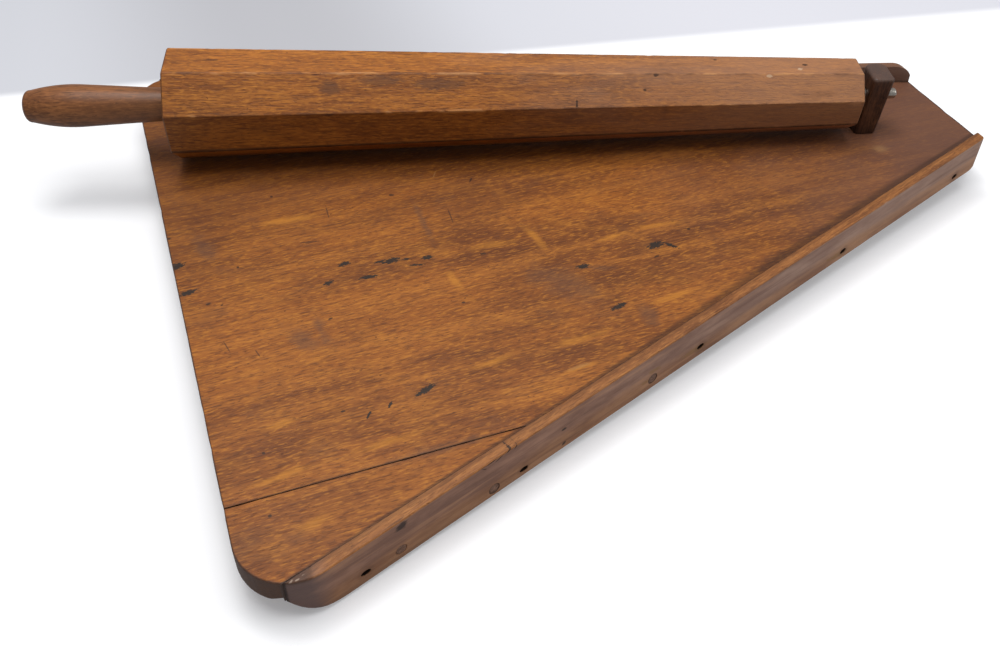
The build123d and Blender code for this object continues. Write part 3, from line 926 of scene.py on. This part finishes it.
def rollerTree():
    shape = Shape("rollerShape", {
        "Length": "Float", "Big Radius": "Float", "Small Radius": "Float", "Sides": "Int", "Turn": "Float",
        "Ridge Round": "Float", "Rings": "Int", "Chamfer": "Float", "Wear": "Float", "Material": "Material"})
    line = shape.node("GeometryNodeCurvePrimitiveLine", sockets={
        "Start": (0, 0, 0), "End": shape.vectorOf(z=shape.input("Length"))})
    spine = shape.node("GeometryNodeResampleCurve", sockets={"Curve": line, "Count": shape.input("Rings")})
    # the first and last rings make the ends' chamfers
    length, chamfer = shape.input("Length"), shape.input("Chamfer")
    number = shape.node("GeometryNodeInputIndex")
    height = chamfer + (number - 1.0) * (length - chamfer * 2.0) / (shape.input("Rings") - 3.0)
    height = height.atLeast(0.0).atMost(length)
    spine = shape.node("GeometryNodeSetPosition", sockets={
        "Geometry": spine, "Position": shape.vectorOf(z=height)})
    stand = shape.split(shape.node("GeometryNodeInputPosition"))[2]
    inset = chamfer * ((stand - length * 0.5).size() - length * 0.5 + chamfer * 0.5).rise(-0.0001, 0.0001)
    radius = shape.input("Big Radius") + (shape.input("Small Radius") - shape.input("Big Radius")) * stand / length
    radius = radius - inset
    ring = shape.node("GeometryNodeCurvePrimitiveCircle", sockets={
        "Resolution": shape.input("Sides"), "Radius": 1.0})
    ring = shape.node("GeometryNodeTransform", sockets={
        "Geometry": ring, "Rotation": shape.vectorOf(z=shape.input("Turn"))})
    ring = shape.node("GeometryNodeFilletCurve", {"mode": "POLY"}, {
        "Curve": ring, "Count": 3, "Radius": shape.input("Ridge Round")})
    ring = shape.node("GeometryNodeSubdivideCurve", sockets={"Curve": ring, "Cuts": 3})
    solid = shape.node("GeometryNodeCurveToMesh", sockets={
        "Curve": spine, "Profile Curve": ring, "Scale": radius, "Fill Caps": True})
    # ridges rubbed and knocked unevenly
    place = shape.node("GeometryNodeInputPosition")
    x, y, z = shape.split(place)
    reach = (x * x + y * y) ** 0.5
    share = z / shape.input("Length")
    here = shape.input("Big Radius") + (shape.input("Small Radius") - shape.input("Big Radius")) * share
    ridge = (reach / here).rise(0.955, 0.985)
    rough = shape.noise(place, (60, 60, 85), 3, 0.6)
    slow = shape.noise(place, (18, 18, 9), 2, 0.5)
    depth = shape.input("Wear") * mm * (ridge * (rough.rise(0.5, 0.8) + 0.3 * slow) + 0.12 * slow)
    inward = shape.vectorOf(x * depth / reach * -1.0, y * depth / reach * -1.0, 0.0)
    solid = shape.node("GeometryNodeSetPosition", sockets={"Geometry": solid, "Offset": inward})
    return shape.end(solid)


# marks on the roller in its own frame: place, half length, half width
rollerMarks = {
    "knot": [(-217.3, -17.9, 33.8, 3.4, 1.8), (-227.8, -27.1, 23.9, 2.2, 1.6), (-157.4, 5.6, 34.8, 2.4, 1.4),
             (-73.0, -1.2, 32.3, 3.6, 2.2), (-290.7, -36.1, 16.0, 1.2, 5), (-512.4, -44.2, 13.9, 4.5, 1.5),
             (-615.6, -2.4, 45.7, 12, 1.0)],
    "cloud": [(-466.6, -24.2, 36.2, 26, 6), (-413.7, -25.9, 32.4, 30, 6), (-510.6, -29.1, 31.9, 12, 8)],
    "chip": [(-110.5, -17.3, 30.8, 3.0, 1.6), (-79.7, -7.7, 32.0, 2.8, 2.0)],
}


def rollerPaint():
    paint = Paint("roller")
    local = paint.local(tuple(pivot), rollerTurn)
    height = woodLayers(paint, local, roller["look"])
    x, y, z = paint.split(local)
    patch = paint.noise(local, (7, 22, 22), 4, 0.6)
    fine = paint.noise(local, (200, 420, 420), 3, 0.65)
    # painted sheen: paler and greyer towards the post
    narrow = (x + (patch - 0.5) * 0.4).rise(-0.42, -0.12, 0.55)
    paint.lay(narrow, (162, 120, 92))
    grime = paint.noise(local, (20, 60, 60), 4, 0.7).rise(0.54, 0.78, 0.4)
    paint.lay(grime, (92, 54, 28))
    for kind, shade, most, ragged in (("cloud", (92, 58, 36), 0.6, 1.2), ("knot", (46, 28, 18), 0.85, 1.2),
                                      ("chip", (196, 166, 136), 0.7, 2.0)):
        ovals = [(tuple(pivot / mm + (rollerFrame.to_3x3() @ Vector((a, b, c)))), (long, wide, wide),
                  tuple(math.degrees(angle) for angle in rollerTurn))
                 for a, b, c, long, wide in rollerMarks[kind]]
        inside = (paint.nearest(ovals) + (fine - 0.5) * ragged).fall(0.5, 1.05, most)
        paint.lay(inside, shade)
    # thin dirt lines and rubbed light along the ridges, painted shade on the low front facet and under the lowest
    # ridge
    reach = (y * y + z * z) ** 0.5
    share = (x - roller["smallEnd"] * mm) / (-roller["length"] * mm)
    here = roller["small"] * mm + (roller["big"] - roller["small"]) * mm * share
    ridge = (reach / here).rise(0.978, 0.992)
    # painted shade on the low facet that faces the front, where some dirt also gathers
    shadedLowFacet = (y * -0.998 - z * 0.066) / (here * 0.924)
    paint.lay(shadedLowFacet.rise(0.985, 0.998, 0.35), (70, 34, 14))
    broken = paint.noise(local, (34, 90, 90), 3, 0.65)
    paint.lay(ridge * broken.rise(0.46, 0.62, 0.5), (84, 50, 28))
    paint.lay(ridge * broken.fall(0.36, 0.5, 0.5), (198, 142, 88))
    # painted shade under the lowest front ridge
    shadedUnderRidge = (y * -0.8965 - z * 0.4431) / here
    paint.lay(shadedUnderRidge.rise(0.970, 0.990, 0.8), (38, 19, 8))
    # darker end grain
    ends = (share - 0.5).size().rise(0.4975, 0.4995, 0.7)
    paint.lay(ends, (80, 48, 26))
    return paint.finish(0.42 + patch * 0.16, height, 0.00022, 0.6)


def addRoller():
    material = rollerPaint()
    values = {
        "Length": roller["length"] * mm, "Big Radius": roller["big"] * mm, "Small Radius": roller["small"] * mm,
        "Sides": roller["sides"], "Turn": math.radians(180 / roller["sides"] + roller["spin"]),
        "Ridge Round": roller["ridgeRound"], "Rings": roller["rings"], "Chamfer": roller["chamfer"] * mm,
        "Wear": roller["wear"], "Material": material}
    mesh = grow("roller", rollerTree(), values)
    # the tree grows it along Z from its big end; stand it on the pin's line
    bigEnd = (roller["smallEnd"] - roller["length"]) * mm
    mesh.transform(Matrix(((0, 0, 1, bigEnd), (1, 0, 0, 0), (0, 1, 0, 0), (0, 0, 0, 1))))
    bm = bmesh.new()
    bm.from_mesh(mesh)
    bmesh.ops.remove_doubles(bm, verts=bm.verts, dist=1e-6)
    mesh = meshOf(bm, "roller", material, scale=1 / mm)
    bore = [(-roller["boreDeep"], roller["bore"]), (5, roller["bore"])]
    cutters = [cutterAt(bore, Vector((roller["smallEnd"], 0, 0)), (1, 0, 0), 40)]
    # the chip in the far ridge at the small end
    chip = bmesh.new()
    bmesh.ops.create_icosphere(chip, subdivisions=3, radius=1)
    chip.transform(Matrix.Translation(roller["chip"]) @ Matrix.Diagonal((*roller["chipSize"], 1)))
    cutters.append(chip)
    mesh = carve(mesh, cutters)
    addPiece("roller_body", mesh, "roller", ["roller"], rollerFrame, sharp=40)


addRoller()
print("roller made")


# handle
handle = {
    "length": 132.0,
    "root": 14.4,
    "swell": 18.9,
    "swellAt": 79.0,
    "shoulder": 14.4,
    "shoulderAt": 125.0,
    "rows": 60,
    "sides": 72,
    "wave": 0.12,
    "waveLength": 30.0,
    "look": {"dark": (84, 48, 26), "middle": (124, 76, 42), "pale": (156, 100, 56), "gold": (160, 104, 58),
             "pore": (56, 32, 18), "bands": 0.5, "patches": 0.35, "ripples": 0.5, "fibres": 0.4, "flecks": 0.4,
             "seed": 31.7},
}


def handleRadius(x):   # x is from the root towards the nose
    if x <= handle["swellAt"]:
        return handle["root"] + (handle["swell"] - handle["root"]) * x / handle["swellAt"]
    if x <= handle["shoulderAt"]:
        share = (x - handle["swellAt"]) / (handle["shoulderAt"] - handle["swellAt"])
        rise = (handle["swell"] - handle["root"]) / handle["swellAt"] * (handle["shoulderAt"] - handle["swellAt"])
        return handle["swell"] + rise * share - (handle["swell"] + rise - handle["shoulder"]) * share ** 2
    share = (x - handle["shoulderAt"]) / (handle["length"] - handle["shoulderAt"])
    return handle["shoulder"] * math.sqrt(max(0.0, 1 - share ** 2.6))


def handlePaint():
    paint = Paint("handle")
    local = paint.local(tuple(pivot), rollerTurn)
    height = woodLayers(paint, local, handle["look"])
    x = paint.split(local)[0]
    patch = paint.noise(local, (16, 30, 30), 3, 0.6)
    root = (roller["smallEnd"] - roller["length"]) * mm
    rubbed = (x + (patch - 0.5) * 0.03).rise(root - 0.115, root - 0.02, 0.3)
    paint.lay(rubbed, (140, 94, 60))
    paint.lay((x - root).size().fall(0.0005, 0.004, 0.7), (44, 26, 18))
    lathe = paint.noise(local, (700, 4, 4), 2, 0.5)
    return paint.finish(0.34 + patch * 0.14, height * 0.6 + lathe * 0.25, 0.00012, 0.5, Coat_Weight=0.03,
                        Coat_Roughness=0.28)


def addHandle():
    root = roller["smallEnd"] - roller["length"]
    places = [handle["length"] * i / handle["rows"] for i in range(handle["rows"])]
    nose = handle["length"] - handle["shoulderAt"]
    places = [x for x in places if x < handle["shoulderAt"] - 0.5]
    places += [handle["length"] - nose * (1 - math.sin(math.pi / 2 * i / 16)) for i in range(17)]
    profile = [(root, 10.0), (root, handle["root"] - 0.3), (root - 0.3, handle["root"])]
    profile += [(root - x, max(0.25, handleRadius(x))) for x in places if x > 0.5]
    bm = turned(profile, handle["sides"])
    for vertex in bm.verts:
        vertex.co += waved(vertex.co, handle)
    mesh = meshOf(bm, "handle", handlePaint(), rollerFrame)
    addPiece("roller_handle", mesh, "roller", ["handle"], weighted=False)


addHandle()
print("handle made")


# post and pin
post = {
    "thick": 21.0,
    "deep": 32.0,
    "tall": 60.0,
    "lean": 0.085,
    "wave": 0.22,
    "waveLength": 14.0,
    "lift": 0.35,
    "nearRound": 4.0,
    "farRound": 8.0,
    "topRound": 3.0,
    "shank": 12.0,
    "shankEnd": -31.35,       # below the board's top
    "centre": (0.0, 5.0),     # from the pin's line, in the post's own frame
    "pinHeight": 38.7,
    "hole": 5.08,
    "liftAngle": 12.0,
    "look": {"dark": (44, 26, 18), "middle": (73, 44, 30), "pale": (109, 69, 46), "gold": (120, 78, 49),
             "pore": (26, 16, 12), "bands": 0.4, "patches": 0.3, "ripples": 0.4, "fibres": 0.4, "flecks": 0.3,
             "seed": 41.3},
}


def postRing(inset, height):
    halfX, halfY = post["thick"] / 2, post["deep"] / 2
    points = []
    corners = ((1, 1, 0, "farRound"), (-1, 1, 90, "farRound"),
               (-1, -1, 180, "nearRound"), (1, -1, 270, "nearRound"))
    for x, y, start, which in corners:
        radius = post[which]
        centre = (x * (halfX - radius), y * (halfY - radius))
        points += arcPoints(centre, max(0.3, radius - inset), start, start + 90, 8)
    return [(x + post["centre"][0], y + post["centre"][1], height) for x, y in points]


def postPaint():
    paint = Paint("post")
    local = paint.local(tuple(pivot), (0, math.pi / 2, swing))
    height = woodLayers(paint, local, post["look"])
    z = paint.split(paint.place)[2]
    patch = paint.noise(paint.place, (40, 40, 40), 4, 0.6)
    top = (z + (patch - 0.5) * 0.004).rise(boardHigh.z + 0.0560, boardHigh.z + 0.0595, 0.6)
    paint.lay(top, (92, 74, 66))
    # painted shade at the post's foot, where it stands on the board
    foot = (z + (patch - 0.5) * 0.01).fall(boardHigh.z + 0.001, boardHigh.z + 0.012, 0.5)
    paint.lay(foot, (26, 16, 12))
    return paint.finish(0.36 + patch * 0.18, height, 0.0002, 0.7)


def holeCutters():
    # the pin's hole, flared both ways so that the pin can tilt
    tilts = [rollerTilt, rollerTilt + math.radians(post["liftAngle"])]
    cutters = []
    for end in (-1, 1):
        bm = bmesh.new()
        for tilt in tilts:
            bar = turned([(0, post["hole"]), (end * 30, post["hole"])], 32)
            bar.transform(Matrix.Rotation(tilt, 4, "Y"))
            for vertex in bar.verts:
                bm.verts.new(vertex.co)
            bar.free()
        bmesh.ops.convex_hull(bm, input=bm.verts[:])
        bmesh.ops.delete(bm, geom=[vertex for vertex in bm.verts if not vertex.link_faces], context="VERTS")
        bm.transform(Matrix.Translation((-end * 0.4, 0, post["pinHeight"])))
        bmesh.ops.recalc_face_normals(bm, faces=bm.faces)
        cutters.append(bm)
    return cutters


def addPost():
    topRound = post["topRound"]
    rings = [postRing(0.8, post["lift"]), postRing(0.15, post["lift"] + 0.5)]
    low, high, rows = post["lift"] + 1, post["tall"] - topRound, 10
    rings += [postRing(0, low + (high - low) * i / rows) for i in range(rows + 1)]
    for step in range(1, 6):
        angle = math.pi / 2 * step / 5
        rings.append(postRing(topRound * (1 - math.cos(angle)), post["tall"] - topRound * (1 - math.sin(angle))))
    starts = [math.atan2(y - post["centre"][1], x - post["centre"][0]) for x, y, _ in rings[0]]
    shank = []
    for height, radius in ((post["shankEnd"], post["shank"] - 1), (post["shankEnd"] + 1, post["shank"]),
                           (post["lift"], post["shank"])):
        shank.append([(post["centre"][0] + radius * math.cos(a), post["centre"][1] + radius * math.sin(a), height)
                      for a in starts])
    bm = skin(shank + rings)
    for vertex in bm.verts:
        if vertex.co.z > 1:
            vertex.co += waved(vertex.co, post)
            vertex.co.x += (vertex.co.z - 1) * post["lean"]
    mesh = meshOf(bm, "post", postPaint(), scale=1)
    for cutter in holeCutters():
        mesh = carve(mesh, [cutter])
    addPiece("post_block", mesh, "post", ["swivel_post"], postFrame, sharp=38)


pin = {
    "radius": 5.0,
    "inner": -79.0,
    "outer": 24.5,
    "dome": 3.0,
}


def steelPaint(name, bright, rusty, rust):
    paint = Paint(name)
    patch = paint.noise(paint.place, (260, 260, 260), 4, 0.65)
    spread = paint.noise(paint.place, (70, 70, 70), 3, 0.6)
    worn = (spread * 0.6 + patch * 0.4).rise(0.5 - rust * 0.35, 0.72 - rust * 0.35)
    paint.colour = paint.mix(worn, tone(*bright), tone(*rusty))
    return paint.finish(0.28 + worn * 0.5, patch, 0.0001, 0.6, Metallic=1.0 - worn * 0.75)


def addPin():
    profile = [(pin["inner"], pin["radius"] - 1), (pin["inner"] + 1, pin["radius"])]
    length = pin["outer"] - pin["dome"] - pin["inner"] - 1
    profile += [(pin["inner"] + 1 + length * i / 20, pin["radius"]) for i in range(1, 21)]
    for step in range(1, 10):
        angle = math.pi / 2 * step / 9.3
        profile.append((pin["outer"] - pin["dome"] * (1 - math.sin(angle)), pin["radius"] * math.cos(angle)))
    steel = steelPaint("pin_steel", (176, 170, 160), (88, 66, 50), 0.15)
    mesh = meshOf(turned(profile, 40), "pin", steel, rollerFrame)
    addPiece("pin_rod", mesh, "pin", ["pivot_pin"], weighted=False)


addPost()
addPin()
print("post and pin made")


# screws and plugs, set at places that each carry the way they face
screw = {
    "head": 3.8,
    "shank": 2.0,
    "headDeep": 2.6,
    "tip": 6.0,
    "slotWide": 1.0,
    "slotDeep": 1.1,
    "railLength": 36.0,
    "bearerLength": 34.0,
    "bearerSink": 0.6,
    "innerRow": 60.0,
    "outerInset": 34.0,
    "footInset": 14.0,
}
plugs = {
    "radius": 4.32, "deep": 2.8, "sink": 0.2, "rim": 0.35, "grainTurn": 0.9,
    "look": {"dark": (104, 72, 56), "middle": (138, 102, 82), "pale": (164, 126, 102), "gold": (156, 114, 86),
             "seed": 2.2},
}


def screwTree():
    shape = Shape("screws", {
        "Head": "Float", "Shank": "Float", "Head Deep": "Float", "Length": "Float", "Tip": "Float",
        "Slot Wide": "Float", "Slot Deep": "Float", "Seed": "Int", "Material": "Material"})
    head, shank, headDeep = (shape.input(label) for label in ("Head", "Shank", "Head Deep"))
    length, tip = shape.input("Length"), shape.input("Tip")
    top = shape.node("GeometryNodeMeshCone", sockets={
        "Vertices": 28, "Radius Top": head, "Radius Bottom": shank, "Depth": headDeep})
    top = shape.moved(top, z=-headDeep)
    straight = length - headDeep - tip
    rod = shape.node("GeometryNodeMeshCylinder", sockets={
        "Vertices": 28, "Radius": shank, "Depth": straight + 0.0002})
    rod = shape.moved(rod, z=-headDeep - straight * 0.5)
    point = shape.node("GeometryNodeMeshCone", sockets={
        "Vertices": 28, "Radius Top": shank, "Radius Bottom": 0.0004, "Depth": tip})
    point = shape.moved(point, z=-length)
    whole = shape.node("GeometryNodeMeshBoolean", {"operation": "UNION", "solver": "EXACT"},
                       {"Mesh 2": [top, rod, point]})
    slot = shape.node("GeometryNodeMeshCube", sockets={
        "Size": shape.vectorOf(head * 2.4, shape.input("Slot Wide"), shape.input("Slot Deep") * 2.0)})
    whole = shape.node("GeometryNodeMeshBoolean", {"operation": "DIFFERENCE", "solver": "EXACT"},
                       {"Mesh 1": whole, "Mesh 2": slot})
    return shape.end(setAtPlaces(shape, whole, shape.input("Seed")))


def setAtPlaces(shape, instance, seed):
    outward = shape.node("GeometryNodeInputNamedAttribute", {"data_type": "FLOAT_VECTOR"}, {"Name": "outward"})
    facing = shape.node("FunctionNodeAlignRotationToVector", {"axis": "Z"}, {"Vector": outward})
    chance = shape.node("FunctionNodeRandomValue", {"data_type": "FLOAT"},
                        {2: 0.0, 3: math.pi, "Seed": seed}, out=1)
    spun = shape.node("FunctionNodeRotateRotation", {"rotation_space": "LOCAL"}, {
        0: facing, 1: shape.vectorOf(z=chance)})
    return shape.node("GeometryNodeInstanceOnPoints", sockets={
        "Points": shape.input("Geometry"), "Instance": instance, "Rotation": spun})


def plugTree():
    shape = Shape("plugs", {
        "Radius": "Float", "Deep": "Float", "Rim": "Float", "Seed": "Int", "Material": "Material"})
    radius, deep, rim = (shape.input(label) for label in ("Radius", "Deep", "Rim"))
    disc = shape.node("GeometryNodeMeshCylinder", sockets={"Vertices": 40, "Radius": radius, "Depth": deep - rim})
    disc = shape.moved(disc, z=(deep + rim) * -0.5)
    face = shape.node("GeometryNodeMeshCone", sockets={
        "Vertices": 40, "Radius Top": radius - rim, "Radius Bottom": radius, "Depth": rim})
    face = shape.moved(face, z=-rim)
    whole = shape.node("GeometryNodeMeshBoolean", {"operation": "UNION", "solver": "EXACT"},
                       {"Mesh 2": [disc, face]})
    return shape.end(setAtPlaces(shape, whole, shape.input("Seed")))


def placesMesh(places):   # points that carry an outward direction, in the part's frame
    mesh = bpy.data.meshes.new("places")
    mesh.from_pydata([tuple(centre * mm + Vector((wideEnd, 0, 0))) for centre, outward in places], [], [])
    facing = mesh.attributes.new("outward", "FLOAT_VECTOR", "POINT")
    for item, (centre, outward) in zip(facing.data, places):
        item.vector = outward
    return mesh


def addScrews():
    tree = screwTree()
    dark = steelPaint("screw_steel", (92, 84, 76), (58, 40, 30), 0.75)
    down = Vector((0, 0, -1))
    battenPlaces = []
    for centre in bearer["centres"].values():
        outer = edgeHalf(centre) - screw["outerInset"]
        for y in (screw["innerRow"], (screw["innerRow"] + outer) / 2, outer):
            battenPlaces += [(Vector((centre, side * y, screw["bearerSink"])), down) for side in (-1, 1)]
    offX = bearer["footLength"] / 2 - screw["footInset"]
    offY = bearer["footWide"] / 2 - screw["footInset"]
    footPlaces = [(Vector((swivel.x + i * offX, swivel.y + j * offY, screw["bearerSink"])), down)
                  for i in (-1, 1) for j in (-1, 1)]
    sets = [("batten_screws", battenPlaces, screw["bearerLength"], 1),
            ("foot_screws", footPlaces, screw["bearerLength"], 2)]
    for side, kind, seed in ((-1, "near", 3), (1, "far", 4)):
        places = [(centre - outward * fixings["wellDeep"], outward) for x, centre, outward in fixingPlaces(side)]
        sets.append((kind + "_rail_screws", places, screw["railLength"], seed))
    for node, places, length, seed in sets:
        values = {"Head": screw["head"] * mm, "Shank": screw["shank"] * mm, "Head Deep": screw["headDeep"] * mm,
                  "Length": length * mm, "Tip": screw["tip"] * mm, "Slot Wide": screw["slotWide"] * mm,
                  "Slot Deep": screw["slotDeep"] * mm, "Seed": seed, "Material": dark}
        addPiece("set_" + node, grow(node, tree, values, placesMesh(places)), "tray", [node])
    tree = plugTree()
    for side, kind, seed in ((-1, "near", 5), (1, "far", 6)):
        places = [(centre - outward * plugs["sink"], outward)
                  for x, centre, outward in fixingPlaces(side) if x in fixings["plugged"]]
        values = {"Radius": plugs["radius"] * mm, "Deep": plugs["deep"] * mm, "Rim": plugs["rim"] * mm,
                  "Seed": seed, "Material": plugPaint(kind, side)}
        node = kind + "_rail_plugs"
        addPiece("set_" + node, grow(node, tree, values, placesMesh(places)), "tray", [node])


def plugPaint(kind, side):
    paint = Paint(kind + "_plugs")
    look = dict(rail["look"], **plugs["look"])
    local = paint.local((0, 0, 0), (0, 0, -side * railAngle + plugs["grainTurn"]))
    height = woodLayers(paint, local, look)
    return paint.finish(0.5, height, 0.0002, 0.7)


addScrews()
print("screws and plugs made")


# what keeps its frame mesh: hidden tongues, and the post's washer and screw
def dressHidden():
    tongue = bearerPaint("tongue", 0, 8.8)
    metal = steelPaint("post_steel", (104, 96, 88), (70, 48, 36), 0.5)
    for node, material in (("near_seam_tongue", tongue), ("far_seam_tongue", tongue),
                           ("post_washer", metal), ("post_screw", metal)):
        frame["nodes"][node].data.materials.clear()
        frame["nodes"][node].data.materials.append(material)


dressHidden()
print("hidden pieces dressed")


# light and floor
studio = {
    "worldColour": (0.93, 0.95, 1.0),
    "worldStrength": 0.34,
    "beyondFloor": (0.9, 0.9, 0.92),
    "lamps": {   # place, aim, size, power
        "ceiling": ((0.15, 0.00, 2.2), (0.25, 0.0, 0.0), 2.0, 35.0),
        "key": ((0.05, 0.50, 1.9), (0.25, 0.0, 0.0), 0.7, 8.5),
        "window": ((2.3, -1.0, 1.5), (0.3, 0.0, 0.0), 1.4, 12.0),
    },
    "floorSize": 4.0,
    "nearTone": (232, 232, 233),
    "farTones": ((187, 188, 193), (168, 168, 172), (200, 200, 206)),   # left, the dip of painted shade, right
    "farLine": (381.4, -0.1641),   # where the floor's far part starts at the wide end, and its slope
    "glow": 0.25,             # what the camera sees besides the light, so that the floor stays white
    "bounce": 0.55,           # how much of its tone the floor lends to what stands on it
}


def floorPaint():
    paint = Paint("floor")
    x, y = paint.split(paint.place)[:2]
    start, tilt = studio["farLine"]
    far = (y - (x - wideEnd) * tilt - start * mm).rise(0.0, 0.02)
    left, shadedDip, right = (tone(*shade) for shade in studio["farTones"])
    # painted shade on the backdrop: a left to right gradient and a darker dip
    wall = paint.mix((x - wideEnd).rise(0.2, 0.8), left, right)
    wall = paint.mix((x - wideEnd - 0.17).size().fall(0.03, 0.28), wall, shadedDip)
    shade = paint.mix(far, tone(*studio["nearTone"]), wall)
    seen = paint.node("ShaderNodeLightPath", out="Is Camera Ray")
    lent = paint.vector("MULTIPLY", shade, (studio["bounce"],) * 3)
    matt = paint.node("ShaderNodeBsdfDiffuse", sockets={"Color": paint.mix(seen, lent, shade)})
    glow = paint.node("ShaderNodeEmission", sockets={"Color": shade, "Strength": seen * studio["glow"]})
    surface = paint.node("ShaderNodeAddShader", sockets={0: matt, 1: glow})
    paint.node("ShaderNodeOutputMaterial", sockets={"Surface": surface})
    return paint.material


def addStudio():
    world = bpy.data.worlds.new("studio")
    bpy.context.scene.world = world
    world.use_nodes = True
    background = world.node_tree.nodes["Background"]
    background.inputs["Color"].default_value = (*studio["worldColour"], 1)
    background.inputs["Strength"].default_value = studio["worldStrength"]
    # beyond the floor the camera sees plain white
    nodes, links = world.node_tree.nodes, world.node_tree.links
    path, white, chosen = (nodes.new("ShaderNode" + kind) for kind in ("LightPath", "Background", "MixShader"))
    white.inputs["Color"].default_value = (*studio["beyondFloor"], 1)
    links.new(path.outputs["Is Camera Ray"], chosen.inputs[0])
    links.new(background.outputs[0], chosen.inputs[1])
    links.new(white.outputs[0], chosen.inputs[2])
    links.new(chosen.outputs[0], nodes["World Output"].inputs["Surface"])
    for name, (place, aim, size, power) in studio["lamps"].items():
        data = bpy.data.lights.new(name, "AREA")
        data.shape = "DISK"
        data.size = size
        data.energy = power
        lamp = bpy.data.objects.new(name, data)
        facing = (Vector(aim) - Vector(place)).to_track_quat("-Z", "Y").to_matrix().to_4x4()
        lamp.matrix_world = Matrix.Translation(place) @ facing
        bpy.context.scene.collection.objects.link(lamp)
    bm = bmesh.new()
    bmesh.ops.create_grid(bm, x_segments=1, y_segments=1, size=studio["floorSize"])
    floor = loose("floor", meshOf(bm, "floor", floorPaint(), scale=1))


addStudio()
bpy.context.scene.view_settings.view_transform = "Standard"
print("studio lit")
